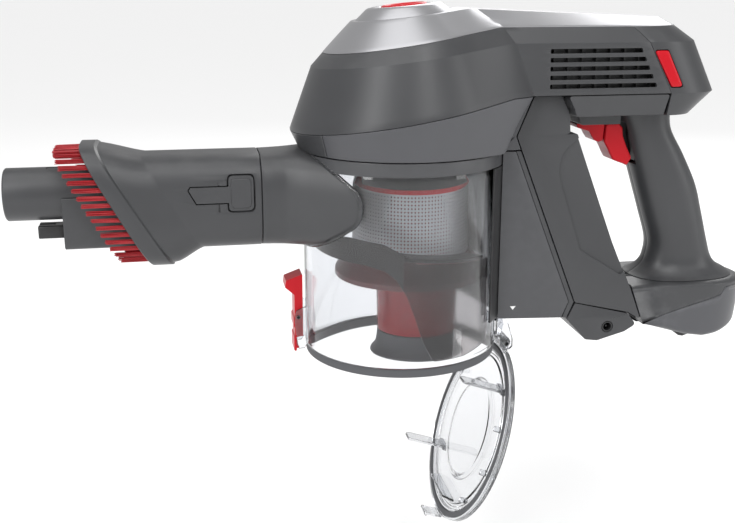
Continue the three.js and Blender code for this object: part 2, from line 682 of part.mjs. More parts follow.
function buildInlet() {
  const dark = finish(0x47494c, 0.5);
  const rings = ductSections.map(({ at, half, tall }) =>
    crossSection({ at: upright(at), half, high: ductZ + tall, low: ductZ - tall }));
  const binRoom = cylinderZ(binRadius + gap, -reach, binTop + gap / 2, 0, binSides);
  const collarRoom = cylinderZ(collarRadius + gap, binTop, 140, 0, binSides);
  const bore = loft([
    circleX(tubeStop - 0.5, tubeZ, tubeRadius - tubeWall),
    circleX(-66, portZ + 2, portRadius - 1),
    circleX(-20, portZ, portRadius),
  ]);
  const tubeRoom = cylinderX(tubeRadius + gap, ductEnd - 1, tubeStop, 0, tubeZ);
  const duct = loft(rings).subtract(binRoom).subtract(collarRoom).subtract(bore).subtract(tubeRoom);
  add('inlet_duct', duct, dark);

  const tubeBore = cylinderX(tubeRadius - tubeWall, tubeEnd - 1, 0, 0, tubeZ);
  const tube = cylinderX(tubeRadius, tubeEnd, tubeStop - gap, 0, tubeZ).subtract(tubeBore);
  const notch = block(-204, -196, -3, 3, tubeZ + tubeRadius - 1, reach);
  add('nozzle_tube', tube.subtract(notch), finish(0x4c4e51, 0.45));

  const socket = block(socketFace, ductEnd - 4, -socketHalfWidth, socketHalfWidth, socketBottom, tubeZ);
  const socketRoom = cylinderX(tubeRadius + gap, -reach, 0, 0, tubeZ);
  add('connector_housing', socket.subtract(socketRoom), finish(0x45474a, 0.5));
  const prongBottom = prongTop - prongHeight;
  const prong = block(prongEnd, socketFace - gap, -6, 6, prongBottom, prongTop);
  const prongSlot = block(prongEnd - 1, socketFace - 6, -1.4, 1.4, prongBottom + 1.6, prongTop + 1);
  add('contact_prong', prong.subtract(prongSlot), finish(0x3c3d40, 0.5));
}

const catchOutline = [
  [-126, 107.3], [-125, 108.9], [-108.8, 108.9], [-108.8, 115], [-90, 115], [-90, 95], [-108.8, 95],
  [-108.8, 99.7], [-121.9, 99.7],
];

// an outline moved outwards by an amount, corner by corner
function growOutline(points, amount) {
  const area = THREE.ShapeUtils.area(points.map(([x, y]) => new THREE.Vector2(x, y)));
  const turn = area > 0 ? 1 : -1;
  return points.map((point, i) => {
    const before = points[(i + points.length - 1) % points.length];
    const after = points[(i + 1) % points.length];
    const a = new THREE.Vector2(point[0] - before[0], point[1] - before[1]).normalize();
    const b = new THREE.Vector2(after[0] - point[0], after[1] - point[1]).normalize();
    const normal = new THREE.Vector2(a.y + b.y, -a.x - b.x).normalize();
    const stretch = amount / Math.max(0.4, normal.dot(new THREE.Vector2(a.y, -a.x)));
    return [point[0] + normal.x * stretch * turn, point[1] + normal.y * stretch * turn];
  });
}

function buildBrush() {
  const clearance = 0.6;
  const flange = { half: flangeHalfWidth, high: flangeHigh, low: flangeLow };
  const neck = { half: ductHalf, high: ductZ + ductHalf, low: ductZ - ductHalf };
  const flangeFace = leaning(flangeTop, flangeHigh, flangeBottom, flangeLow);
  const brush = loft([
    crossSection({ ...flange, at: flangeFace }),
    crossSection({ ...flange, at: leaning(flangeTop + 8.7, flangeHigh, flangeBottom + 12.2, flangeLow) }),
    crossSection({ ...neck, at: leaning(-150, neck.high, -120.5, neck.low) }),
    crossSection({ ...neck, at: upright(ductEnd - gap) }),
  ]);
  const tubeRoom = cylinderX(tubeRadius + clearance, -reach, 0, 0, tubeZ);
  const housingHalf = socketHalfWidth + clearance;
  const housingRoom = block(-reach, 0, -housingHalf, housingHalf, socketBottom - clearance, tubeZ + 2.5);
  const sleeve = (from, to, inset) => loft([from, to].map((shift) => crossSection({
    at: (z) => flangeFace(z) + shift,
    half: flangeHalfWidth - inset,
    high: flangeHigh - inset,
    low: flangeLow + inset,
  })));
  const band = (front, back, spare) =>
    sleeve(front, back, bristleInset - spare)
      .subtract(sleeve(front - 2, back + 2, bristleInset + bristleDepth + spare));
  const pocket = alongY(growOutline(catchOutline, 0.5), -reach, -ductHalf + 4.4);
  const collar = brush.subtract(tubeRoom).subtract(housingRoom).subtract(band(-6, 3.2, gap)).subtract(pocket);
  add('brush_collar', collar, finish(0x4c4e51, 0.5));
  add('collar_button', alongY(catchOutline, -ductHalf, -ductHalf + 2.4), finish(0x4c4e51, 0.45));
  add('bristle_ring', band(-bristleLength, 2.8, 0), finish(0xc8202c, 0.8));
}

// ---------------------------------------------------------------- dust bin and cyclone

function buildBin() {
  const port = loft([circleX(-70, portZ, portRadius), circleX(-20, portZ, portRadius)]);
  const behindAxis = (points) => points.map(([x, z]) => [x + hingeX, z]);
  const hingeEar = behindAxis([
    [-8, 20], [-8, 6], [-5.2, 5.6], [-4.5, -1.5], [-2, -3], [2, -3], [4, -1], [4, 4], [1, 14], [-3, 20],
  ]);
  const aheadOfPin = (points) => points.map(([x, z]) => [x + latchPivotX, z]);
  const latchEar = aheadOfPin([[7, 31], [-1.3, 28], [-2.2, 21], [-0.4, 4], [3.6, 4], [4.5, 6], [7, 6]]);
  const inside = cylinderZ(binRadius - binWall, -reach, reach, 0, binSides);
  const hingeEarFace = 16;
  const latchEarFace = latchHalfWidth + earGap + earThickness;
  let bin = turnedRing(binRadius - binWall, binRadius, sealHeight, binTop, 0, binSides).subtract(port);
  [-1, 1].forEach((side) => {
    const near = (low, high) => (side < 0 ? [-high, -low] : [low, high]);
    bin = bin.add(alongY(hingeEar, ...near(hingeEarFace - 4, hingeEarFace)).subtract(inside));
    bin = bin.add(alongY(latchEar, ...near(latchHalfWidth + earGap, latchEarFace)).subtract(inside));
  });
  bin = bin.subtract(cylinderY(hingePinRadius + gap, -20, 20, hingeX, hingeZ));
  bin = bin.subtract(cylinderY(latchPinRadius + gap, -20, 20, latchPivotX, latchPivotZ));
  add('dust_bin', bin, finish(0xe8eaec, 0.08, 0, clearFinish));
  const seal = turnedRing(binRadius - 4.6, binRadius - 0.6, 0, sealHeight - gap, 0, binSides);
  add('bin_seal', seal, finish(0x6e7076, 0.8));
  const steel = finish(0xa9abae, 0.3, 0.9);
  add('hinge_pin', cylinderY(hingePinRadius, -hingeEarFace, hingeEarFace, hingeX, hingeZ), steel);
  const latchPin = cylinderY(latchPinRadius, -latchEarFace, latchEarFace, latchPivotX, latchPivotZ);
  add('latch_pin', latchPin, steel.clone());

  const cap = [
    [coreRadius, 103.3], [meshRadius + 1.6, 103.3], [45.4, 116], [45.4, 124], [42, 124], [42, 117],
    [coreRadius, 105], [coreRadius, 103.3],
  ];
  add('cyclone_cap', turned(cap, shroudX), finish(0x55575b, 0.4));
  add('cyclone_band', turnedRing(coreRadius, meshRadius + 0.6, 100.2, 103, shroudX), finish(0xc02530, 0.35));
  const screen = turnedRing(meshRadius - 1.4, meshRadius, 62.6, 99.9, shroudX);
  add('mesh_screen', screen, finish(0xc9cacc, 0.35, 0.8));
  const skirt = [
    [coreRadius, 62.3], [meshRadius, 62.3], [skirtRadius, 51], [skirtRadius, 47.8], [skirtRadius - 1.5, 47.8],
    [skirtRadius - 1.5, 50.5], [coreRadius + 1.5, 60.8], [coreRadius, 60.8], [coreRadius, 62.3],
  ];
  add('cyclone_skirt', turned(skirt, shroudX), finish(0x7d2b30, 0.3));
  const cone = [
    [coneRadius - 2.2, 14.4], [coneRadius, 14.4], [coneRadius + 1, 48], [coneRadius, 60], [14, 97], [12, 97],
    [coneRadius - 2, 60], [coneRadius - 1.2, 48], [coneRadius - 2.2, 14.4],
  ];
  add('cyclone_cone', turned(cone, coneX, 24), finish(0xa31f29, 0.3));
  const foot = [
    [coneRadius - 2, 0.6], [coneRadius + 4, 0.6], [coneRadius + 4, 2.2], [coneRadius + 0.8, 6],
    [coneRadius, 14.1], [coneRadius - 2, 14.1], [coneRadius - 2, 0.6],
  ];
  add('cyclone_foot', turned(foot, coneX, 24), finish(0x4f5156, 0.45));

  const steps = 20;
  const rampRings = Array.from({ length: steps + 1 }, (_, i) => {
    const angle = THREE.MathUtils.degToRad(150 + (170 * i) / steps);
    const z = 80 - (15.4 * i) / steps;
    const corner = (radius, height) =>
      new THREE.Vector3(radius * Math.cos(angle), radius * Math.sin(angle), height);
    const inner = 43.5;
    const outer = binRadius - binWall - 0.5;
    return [corner(inner, z), corner(outer, z), corner(outer, z - 2), corner(inner, z - 2)];
  });
  add('inlet_ramp', loft(rampRings), finish(0x4a4244, 0.08, 0, { transparent: true, opacity: 0.7 }));
}

// ---------------------------------------------------------------- lid and latch

function buildLid() {
  const hinge = new THREE.Group();
  hinge.position.set(hingeX, 0, hingeZ);
  hinge.rotation.y = -THREE.MathUtils.degToRad(lidHang);
  assembly.add(hinge);
  const bottom = -5.4;
  const floor = bottom + lidThickness;
  const centreRadius = 32;
  const sealBore = lidRadius - 5.8;
  const profile = [
    [0, bottom + 1.6], [centreRadius - 2, bottom + 1.6], [centreRadius, bottom], [lidRadius, bottom],
    [lidRadius, -1.6], [lidRadius - 1.4, -1.6], [lidRadius - 1.4, floor], [sealBore, floor], [sealBore, -1.8],
    [sealBore - 1.2, -1.8], [sealBore - 1.2, floor], [centreRadius + 2, floor], [centreRadius, -1.4],
    [0, -1.4],
  ];
  const disc = turned(profile, -hingeX, binSides);
  const finSpots = [{ along: -26, across: 28 }, { along: 39, across: -28 }];
  const finHalfWidth = 5.5;
  const fins = finSpots.map(({ along, across }) => block(
    -hingeX + along - finThickness / 2,
    -hingeX + along + finThickness / 2,
    across - finHalfWidth,
    across + finHalfWidth,
    floor - 0.6,
    finLength,
  ));
  const knuckle = cylinderY(3.6, -11.4, 11.4, 0, 0).add(block(-6, 1, -11.4, 11.4, bottom, -1.6));
  const hookX = -hingeX - 62;
  const hook = alongY([
    [-hingeX - lidRadius + 1, bottom], [hookX - 1.6, bottom], [hookX - 1.6, 5], [hookX - 3, 5],
    [hookX - 1.6, 7], [hookX, 7], [hookX, floor], [-hingeX - lidRadius + 1, floor],
  ], -5, 5);
  const lid = [knuckle, hook, ...fins].reduce((all, piece) => all.add(piece), disc);
  const pinHole = cylinderY(hingePinRadius + gap, -20, 20, 0, 0);
  add('lid', lid.subtract(pinHole), finish(0xe8eaec, 0.08, 0, clearFinish), hinge);
  const seal = turnedRing(sealBore + gap, lidRadius - 1.7, floor + gap, -1.3, -hingeX, binSides);
  add('lid_seal', seal, finish(0x6e7076, 0.8), hinge);
}

function buildLatch() {
  const outline = [
    [3, latchTop], [-7.2, 46.6], [-7.8, 42.5], [-2.1, 37.5], [-2.1, 24], [-3, 23], [-3, 17.5], [-2.1, 17],
    [-2.1, 11.5], [-2.8, 11], [-2.8, 2], [-1.1, 2], [-1.1, 3.7], [0.2, 3.7], [0.2, 5.4], [-1.1, 5.6],
    [-1.1, 11], [2.8, 11.5],
  ].map(([x, z]) => [x + latchPivotX, z]);
  const latch = alongY(outline, -latchHalfWidth, latchHalfWidth);
  const pinHole = cylinderY(latchPinRadius + gap, -20, 20, latchPivotX, latchPivotZ);
  add('bin_latch', latch.subtract(pinHole), finish(0xc8202c, 0.35));
}

buildUpperBody();
buildRearCap();
buildLowerBody();
buildSpine();
buildBattery();
buildHandle();
buildBase();
buildMotor();
buildInlet();
buildBrush();
buildBin();
buildLid();
buildLatch();

export default assembly;
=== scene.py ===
import math

import bmesh
import bpy
from mathutils import Matrix, Vector


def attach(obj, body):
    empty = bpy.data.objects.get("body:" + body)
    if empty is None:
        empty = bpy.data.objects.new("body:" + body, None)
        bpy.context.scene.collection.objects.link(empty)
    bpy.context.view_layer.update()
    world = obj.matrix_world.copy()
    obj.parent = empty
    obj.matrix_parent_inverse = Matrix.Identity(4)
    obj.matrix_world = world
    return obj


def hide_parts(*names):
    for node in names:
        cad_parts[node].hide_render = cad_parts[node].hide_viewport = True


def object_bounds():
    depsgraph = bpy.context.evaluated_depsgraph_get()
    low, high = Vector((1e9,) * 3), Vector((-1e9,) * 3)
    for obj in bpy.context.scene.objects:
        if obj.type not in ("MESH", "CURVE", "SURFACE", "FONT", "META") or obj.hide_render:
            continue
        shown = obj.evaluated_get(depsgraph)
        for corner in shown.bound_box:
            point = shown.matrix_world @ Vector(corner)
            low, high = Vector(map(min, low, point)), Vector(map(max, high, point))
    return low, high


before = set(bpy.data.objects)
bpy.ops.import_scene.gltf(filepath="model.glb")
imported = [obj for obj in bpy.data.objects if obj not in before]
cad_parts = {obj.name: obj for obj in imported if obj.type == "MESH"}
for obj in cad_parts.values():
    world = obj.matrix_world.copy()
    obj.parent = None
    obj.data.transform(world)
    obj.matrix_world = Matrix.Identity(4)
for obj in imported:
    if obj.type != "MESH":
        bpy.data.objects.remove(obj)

# Cordless handheld vacuum with a cyclone bin, a sliding dusting brush and a D-shaped handle.
# Sizes are millimetres with the bin's axis as Z and z = 0 under the bin's seal, as in the CAD
# source; place() moves them to the row frame, whose origin is the middle of the hand grip.

MM = 0.001
GRIP_CENTRE = Vector((171, 0, 88))
GAP = 0.3

cad_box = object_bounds()

# ---------------------------------------------------------------- driving sizes

BIN_RADIUS = 59
BIN_WALL = 2.2
BIN_TOP = 116.4
SEAL_HEIGHT = 5.5
COLLAR_RADIUS = 60.8
COLLAR_TOP = 124.4
HINGE = Vector((65, 0, 1))
LID_RADIUS = 60
LID_HANG = 71

SHROUD_X = 6
CONE_X = 10.4

DUCT_Z = 98
DUCT_HALF = 27
DUCT_END = -85
TUBE_RADIUS = 15
TUBE_BORE = 13
TUBE_Z = 103.5
TUBE_END = -227.2
PORT_RADIUS = 15

FLANGE_TOP = -185
FLANGE_BOTTOM = -147
FLANGE_HIGH = 132
FLANGE_LOW = 61.6
FLANGE_HALF = 31

COLUMN_HALF = 29.5
GRIP_TOP = 143.3
BASE_HALF = 29.5
BASE_END = 224.7

# ---------------------------------------------------------------- building meshes


def place(point):
    return (Vector(point) - GRIP_CENTRE) * MM


def make(name, points, faces):
    """A mesh object from points in the source's millimetres, with its faces turned outwards."""
    mesh = bpy.data.meshes.new(name)
    mesh.from_pydata([place(p) for p in points], [], faces)
    shape = bmesh.new()
    shape.from_mesh(mesh)
    bmesh.ops.remove_doubles(shape, verts=shape.verts, dist=2e-6)
    bmesh.ops.recalc_face_normals(shape, faces=shape.faces)
    shape.to_mesh(mesh)
    shape.free()
    obj = bpy.data.objects.new(name, mesh)
    bpy.context.scene.collection.objects.link(obj)
    return obj


def bake(obj, sharp=35):
    """Turns the modifiers into plain mesh, smooth but for edges sharper than an angle."""
    graph = bpy.context.evaluated_depsgraph_get()
    mesh = bpy.data.meshes.new_from_object(obj.evaluated_get(graph))
    old = obj.data
    obj.modifiers.clear()
    obj.data = mesh
    bpy.data.meshes.remove(old)
    mesh.name = obj.name
    mesh.shade_smooth()
    mesh.set_sharp_from_angle(angle=math.radians(sharp))
    return obj


def soften(obj, width, segments=3, limit=30, sharp=40):
    """Rounds the edges that turn by more than the limit."""
    obj.data.shade_smooth()
    bevel = obj.modifiers.new("round", "BEVEL")
    bevel.width = width * MM
    bevel.segments = segments
    bevel.limit_method = "ANGLE"
    bevel.angle_limit = math.radians(limit)
    bevel.use_clamp_overlap = True
    weighted = obj.modifiers.new("normals", "WEIGHTED_NORMAL")
    weighted.keep_sharp = True
    return bake(obj, sharp)


def carve(obj, cutters, operation="DIFFERENCE"):
    """Cuts an object by others, which are used up."""
    for cutter in cutters:
        boolean = obj.modifiers.new("carve", "BOOLEAN")
        boolean.solver = "EXACT"
        boolean.operation = operation
        boolean.object = cutter
        bake(obj)
        bpy.data.objects.remove(cutter)
    return obj


def grid_faces(rows, columns, wrap_rows=False, wrap_columns=False):
    faces = []
    for r in range(rows if wrap_rows else rows - 1):
        for c in range(columns if wrap_columns else columns - 1):
            below, beside = (r + 1) % rows, (c + 1) % columns
            faces.append((r * columns + c, r * columns + beside, below * columns + beside,
                          below * columns + c))
    return faces


def loft(name, rows, ends=True):
    """A closed skin over rings of points, with flat ends."""
    count = len(rows[0])
    points = [p for row in rows for p in row]
    faces = grid_faces(len(rows), count, wrap_columns=True)
    if ends:
        faces.append(tuple(range(count)))
        faces.append(tuple(len(points) - count + i for i in range(count)))
    return make(name, points, faces)


def sleeve(name, rows):
    """A closed ring-shaped skin: the last ring joins the first."""
    points = [p for row in rows for p in row]
    return make(name, points, grid_faces(len(rows), len(rows[0]), wrap_rows=True, wrap_columns=True))


def sheet(name, rows, about, thickness, wrap=False):
    """An open skin given a wall towards the inside; about is a point inside it."""
    points = [p for row in rows for p in row]
    obj = make(name, points, grid_faces(len(rows), len(rows[0]), wrap_columns=wrap))
    middle = place(about)
    outward = sum(face.normal.dot(face.center - middle) * face.area for face in obj.data.polygons)
    if outward < 0:
        obj.data.flip_normals()
    wall = obj.modifiers.new("wall", "SOLIDIFY")
    wall.thickness = thickness * MM
    wall.offset = -1
    return obj


def prism(name, outline, low, high, axis="Y"):
    """An outline pushed along an axis: X and Z along Y, X and Y along Z, or Y and Z along X."""
    spot = {
        "Y": lambda a, b, s: (a, s, b),
        "Z": lambda a, b, s: (a, b, s),
        "X": lambda a, b, s: (s, a, b),
    }[axis]
    rows = [[spot(a, b, s) for a, b in outline] for s in (low, high)]
    return loft(name, rows)


def rounded(outline, radius, steps=4):
    """The outline with its corners turned into arcs; radius may be one number or one per corner."""
    count = len(outline)
    radii = radius if isinstance(radius, (list, tuple)) else [radius] * count
    result = []
    for i, corner in enumerate(outline):
        here = Vector(corner)
        back = Vector(outline[i - 1]) - here
        ahead = Vector(outline[(i + 1) % count]) - here
        turn = back.angle(ahead)
        if radii[i] <= 0 or turn > math.radians(176):
            result.append(tuple(here))
            continue
        reach = radii[i] / math.tan(turn / 2)
        reach = min(reach, back.length * 0.45, ahead.length * 0.45)
        start = here + back.normalized() * reach
        end = here + ahead.normalized() * reach
        for k in range(steps + 1):
            t = k / steps
            result.append(tuple(start * (1 - t) ** 2 + here * 2 * t * (1 - t) + end * t * t))
    return result


def turned(name, profile, x=0, y=0, segments=96):
    """A closed profile of [radius, z] turned about a vertical axis."""
    on_axis = [i for i, (r, z) in enumerate(profile) if r < 1e-6]
    points, faces, rings = [], [], []
    for r, z in profile:
        if r < 1e-6:
            rings.append([len(points)] * segments)
            points.append((x, y, z))
            continue
        rings.append(list(range(len(points), len(points) + segments)))
        for i in range(segments):
            angle = 2 * math.pi * i / segments
            points.append((x + r * math.cos(angle), y + r * math.sin(angle), z))
    closing = 0 if len(on_axis) == 2 else 1
    for k in range(len(rings) - 1 + closing):
        low, high = rings[k], rings[(k + 1) % len(rings)]
        for i in range(segments):
            j = (i + 1) % segments
            face = []
            for index in (low[i], low[j], high[j], high[i]):
                if index not in face:
                    face.append(index)
            if len(face) > 2:
                faces.append(tuple(face))
    return make(name, points, faces)


def cylinder(name, radius, low, high, centre=(0, 0), axis="Z", segments=48):
    """Between two places along an axis; centre is the other two coordinates in order."""
    circle = [(centre[0] + radius * math.cos(2 * math.pi * i / segments),
               centre[1] + radius * math.sin(2 * math.pi * i / segments)) for i in range(segments)]
    return prism(name, circle, low, high, axis)


def swept(name, path, radius):
    """A round bead along a closed path."""
    rings = []
    for i, point in enumerate(path):
        here = Vector(point)
        ahead = (Vector(path[(i + 1) % len(path)]) - Vector(path[i - 1])).normalized()
        outward = Vector((here.x, here.y, 0)).normalized()
        beside = ahead.cross(outward).normalized()
        outward = beside.cross(ahead)
        turns = [2 * math.pi * k / 12 for k in range(12)]
        rings.append([here + (outward * math.cos(t) + beside * math.sin(t)) * radius for t in turns])
    return bake(sleeve(name, rings))


def block(name, x0, x1, y0, y1, z0, z1):
    return prism(name, [(x0, z0), (x1, z0), (x1, z1), (x0, z1)], y0, y1)


def joined(name, objects):
    """Several objects as one, each keeping its own closed skin."""
    shape = bmesh.new()
    for obj in objects:
        shape.from_mesh(obj.data)
    mesh = bpy.data.meshes.new(name)
    shape.to_mesh(mesh)
    shape.free()
    for obj in objects:
        bpy.data.objects.remove(obj)
    result = bpy.data.objects.new(name, mesh)
    bpy.context.scene.collection.objects.link(result)
    return result


def power(value, exponent):
    return math.copysign(abs(value) ** exponent, value)


def superellipse(half_a, half_b, square, count):
    turns = [2 * math.pi * i / count for i in range(count)]
    return [(half_a * power(math.cos(t), 2 / square), half_b * power(math.sin(t), 2 / square)) for t in turns]


def mix(a, b, t):
    return a + (b - a) * t


def blended(rows, steps):
    """Extra rings on a smooth curve through each point of the given rings."""
    result = []
    for k in range(len(rows) - 1):
        before = rows[max(k - 1, 0)]
        after = rows[min(k + 2, len(rows) - 1)]
        for s in range(steps):
            t = s / steps
            ring = []
            for p0, p1, p2, p3 in zip(before, rows[k], rows[k + 1], after):
                p0, p1, p2, p3 = Vector(p0), Vector(p1), Vector(p2), Vector(p3)
                ring.append((2 * p1 + (p2 - p0) * t + (2 * p0 - 5 * p1 + 4 * p2 - p3) * t * t
                             + (3 * p1 - p0 - 3 * p2 + p3) * t ** 3) / 2)
            result.append(ring)
    result.append([Vector(p) for p in rows[-1]])
    return result


def along(line, x):
    """The height of a line of [x, z] points at x."""
    for (x0, z0), (x1, z1) in zip(line, line[1:]):
        if x <= x1:
            return mix(z0, z1, max(0, (x - x0) / (x1 - x0)))
    return line[-1][1]


# ---------------------------------------------------------------- shared surface effects


def new_group(name, inputs, outputs):
    """A shader node group with named sockets; returns it with its two end nodes."""
    group = bpy.data.node_groups.new(name, "ShaderNodeTree")
    for label, kind, value in inputs:
        socket = group.interface.new_socket(label, in_out="INPUT", socket_type=kind)
        socket.default_value = value
    for label, kind in outputs:
        group.interface.new_socket(label, in_out="OUTPUT", socket_type=kind)
    start = group.nodes.new("NodeGroupInput")
    end = group.nodes.new("NodeGroupOutput")
    return group, start, end


def noise(group, coordinates, scale, detail, roughness=0.5):
    node = group.nodes.new("ShaderNodeTexNoise")
    node.inputs["Detail"].default_value = detail
    node.inputs["Roughness"].default_value = roughness
    group.links.new(coordinates, node.inputs["Vector"])
    if isinstance(scale, (int, float)):
        node.inputs["Scale"].default_value = scale
    else:
        group.links.new(scale, node.inputs["Scale"])
    return node.outputs["Fac"]


def spread(group, value, low, high, out_low, out_high):
    """Stretches a band of values over another."""
    node = group.nodes.new("ShaderNodeMapRange")
    node.inputs["From Min"].default_value = low
    node.inputs["From Max"].default_value = high
    group.links.new(value, node.inputs["Value"])
    for socket, limit in (("To Min", out_low), ("To Max", out_high)):
        if isinstance(limit, (int, float)):
            node.inputs[socket].default_value = limit
        else:
            group.links.new(limit, node.inputs[socket])
    return node.outputs["Result"]


def arithmetic(group, operation, a, b):
    node = group.nodes.new("ShaderNodeMath")
    node.operation = operation
    for socket, value in zip(node.inputs, (a, b)):
        if isinstance(value, (int, float)):
            socket.default_value = value
        else:
            group.links.new(value, socket)
    return node.outputs["Value"]


def moulded_grain():
    """The fine pebbled grain of a moulding tool, with slow drifts in gloss."""
    group, start, end = new_group(
        "moulded_grain",
        [("Grain Scale", "NodeSocketFloat", 2600.0), ("Gloss", "NodeSocketFloat", 0.45),
         ("Gloss Drift", "NodeSocketFloat", 0.06)],
        [("Height", "NodeSocketFloat"), ("Roughness", "NodeSocketFloat"), ("Drift", "NodeSocketFloat")])
    place_on = group.nodes.new("ShaderNodeTexCoord").outputs["Object"]
    fine = noise(group, place_on, start.outputs["Grain Scale"], 2.0)
    slow = noise(group, place_on, 38.0, 3.0)
    signed = arithmetic(group, "SUBTRACT", slow, 0.5)
    drift = arithmetic(group, "MULTIPLY", signed, start.outputs["Gloss Drift"])
    group.links.new(fine, end.inputs["Height"])
    group.links.new(arithmetic(group, "ADD", drift, start.outputs["Gloss"]), end.inputs["Roughness"])
    group.links.new(slow, end.inputs["Drift"])
    return group


def edge_wear():
    """Where handling has polished and paled the convex edges."""
    group, start, end = new_group(
        "edge_wear",
        [("Amount", "NodeSocketFloat", 0.5), ("Patch Scale", "NodeSocketFloat", 160.0)],
        [("Mask", "NodeSocketFloat")])
    place_on = group.nodes.new("ShaderNodeTexCoord").outputs["Object"]
    convex = group.nodes.new("ShaderNodeNewGeometry").outputs["Pointiness"]
    edges = spread(group, convex, 0.52, 0.62, 0.0, 1.0)
    patches = spread(group, noise(group, place_on, start.outputs["Patch Scale"], 4.0), 0.42, 0.66, 0.0, 1.0)
    worn = arithmetic(group, "MULTIPLY", edges, patches)
    group.links.new(arithmetic(group, "MULTIPLY", worn, start.outputs["Amount"]), end.inputs["Mask"])
    return group


def settled_dust():
    """A thin uneven film of dust on what faces up."""
    group, start, end = new_group(
        "settled_dust",
        [("Amount", "NodeSocketFloat", 0.1)],
        [("Mask", "NodeSocketFloat")])
    place_on = group.nodes.new("ShaderNodeTexCoord").outputs["Object"]
    normal = group.nodes.new("ShaderNodeNewGeometry").outputs["Normal"]
    parts = group.nodes.new("ShaderNodeSeparateXYZ")
    group.links.new(normal, parts.inputs["Vector"])
    up = spread(group, parts.outputs["Z"], 0.3, 1.0, 0.0, 1.0)
    clouds = spread(group, noise(group, place_on, 55.0, 5.0, 0.65), 0.4, 0.75, 0.0, 1.0)
    film = arithmetic(group, "MULTIPLY", up, clouds)
    group.links.new(arithmetic(group, "MULTIPLY", film, start.outputs["Amount"]), end.inputs["Mask"])
    return group


GRAIN = moulded_grain()
WEAR = edge_wear()
DUST = settled_dust()


def place_group(material, group, **values):
    node = material.node_tree.nodes.new("ShaderNodeGroup")
    node.node_tree = group
    for label, value in values.items():
        node.inputs[label.replace("_", " ")].default_value = value
    return node


def mixed(material, factor, first, second):
    """One colour laid over another by a mask."""
    node = material.node_tree.nodes.new("ShaderNodeMix")
    node.data_type = "RGBA"
    links = material.node_tree.links
    links.new(factor, node.inputs["Factor"])
    for socket, value in ((node.inputs[6], first), (node.inputs[7], second)):
        if isinstance(value, (list, tuple)):
            socket.default_value = (*value, 1.0)
        else:
            links.new(value, socket)
    return node.outputs[2]


def plastic(name, colour, gloss, grain=2600.0, depth=0.00002, drift=0.08, wear=0.25, dust=0.06, shade=0.82,
            coat=0.0, metallic=0.0, specular=0.5):
    """Moulded or painted plastic: pebbled grain, slow changes of shade and gloss, paled edges and dust."""
    material = bpy.data.materials.new(name)
    material.use_nodes = True
    nodes, links = material.node_tree.nodes, material.node_tree.links
    shader = nodes["Principled BSDF"]
    surface = place_group(material, GRAIN, Grain_Scale=grain, Gloss=gloss, Gloss_Drift=drift)
    worn = place_group(material, WEAR, Amount=wear)
    dusty = place_group(material, DUST, Amount=dust)
    darker = tuple(c * shade for c in colour)
    paler = tuple(min(1.0, c * 1.7 + 0.03) for c in colour)
    base = mixed(material, surface.outputs["Drift"], darker, colour)
    base = mixed(material, worn.outputs["Mask"], base, paler)
    base = mixed(material, dusty.outputs["Mask"], base, (0.42, 0.41, 0.4))
    links.new(base, shader.inputs["Base Color"])
    links.new(surface.outputs["Roughness"], shader.inputs["Roughness"])
    bump = nodes.new("ShaderNodeBump")
    bump.inputs["Strength"].default_value = 0.6
    bump.inputs["Distance"].default_value = depth
    links.new(surface.outputs["Height"], bump.inputs["Height"])
    links.new(bump.outputs["Normal"], shader.inputs["Normal"])
    shader.inputs["Metallic"].default_value = metallic
    shader.inputs["Specular IOR Level"].default_value = specular
    shader.inputs["Coat Weight"].default_value = coat
    shader.inputs["Coat Roughness"].default_value = 0.12
    return material


def clear_plastic(name, tint, roughness, ior=1.45):
    """Polished see-through plastic, with faint scuffs."""
    material = bpy.data.materials.new(name)
    material.use_nodes = True
    nodes, links = material.node_tree.nodes, material.node_tree.links
    shader = nodes["Principled BSDF"]
    surface = place_group(material, GRAIN, Grain_Scale=90.0, Gloss=roughness, Gloss_Drift=0.05)
    links.new(mixed(material, surface.outputs["Drift"], tuple(c * 0.97 for c in tint), tint),
              shader.inputs["Base Color"])
    links.new(surface.outputs["Roughness"], shader.inputs["Roughness"])
    shader.inputs["Transmission Weight"].default_value = 1.0
    shader.inputs["IOR"].default_value = ior
    return material


DARK = plastic("dark_grey_plastic", (0.04, 0.041, 0.044), 0.4, drift=0.1)
BAND_GREY = plastic("band_grey_plastic", (0.066, 0.067, 0.074), 0.36, drift=0.1)
COLUMN_GREY = plastic("column_grey_plastic", (0.054, 0.055, 0.06), 0.4, drift=0.1)
BLACK = plastic("black_plastic", (0.014, 0.014, 0.015), 0.42)
RIM_GREY = plastic("rim_grey_plastic", (0.055, 0.056, 0.06), 0.35)
SILVER = plastic("silver_paint", (0.4, 0.4, 0.415), 0.3, grain=5200.0, depth=0.000006, drift=0.06, wear=0.1,
                 dust=0.03, shade=0.95, coat=0.15, metallic=0.85)
RED = plastic("red_plastic", (0.5, 0.006, 0.014), 0.3, grain=1800.0, depth=0.000006, wear=0.1, dust=0.0,
              specular=0.2)
SMOKED_RED = plastic("smoked_red_plastic", (0.13, 0.02, 0.024), 0.3, depth=0.000006, wear=0.05, dust=0.03)
CONE_RED = plastic("cone_red_plastic", (0.3, 0.008, 0.014), 0.26, depth=0.000006, wear=0.05, dust=0.03)
BRISTLE_RED = plastic("red_nylon", (0.4, 0.006, 0.013), 0.4, grain=900.0, wear=0.0, dust=0.0, shade=0.6)
SEAL = plastic("grey_seal_rubber", (0.075, 0.077, 0.084), 0.6, grain=1500.0, depth=0.00003, wear=0.1)
SCREEN = plastic("pale_screen", (0.55, 0.55, 0.56), 0.42, grain=1200.0, wear=0.0, dust=0.12, metallic=0.25)
STEEL = plastic("turned_steel", (0.5, 0.5, 0.52), 0.28, grain=1500.0, depth=0.000008, wear=0.1, metallic=1.0)
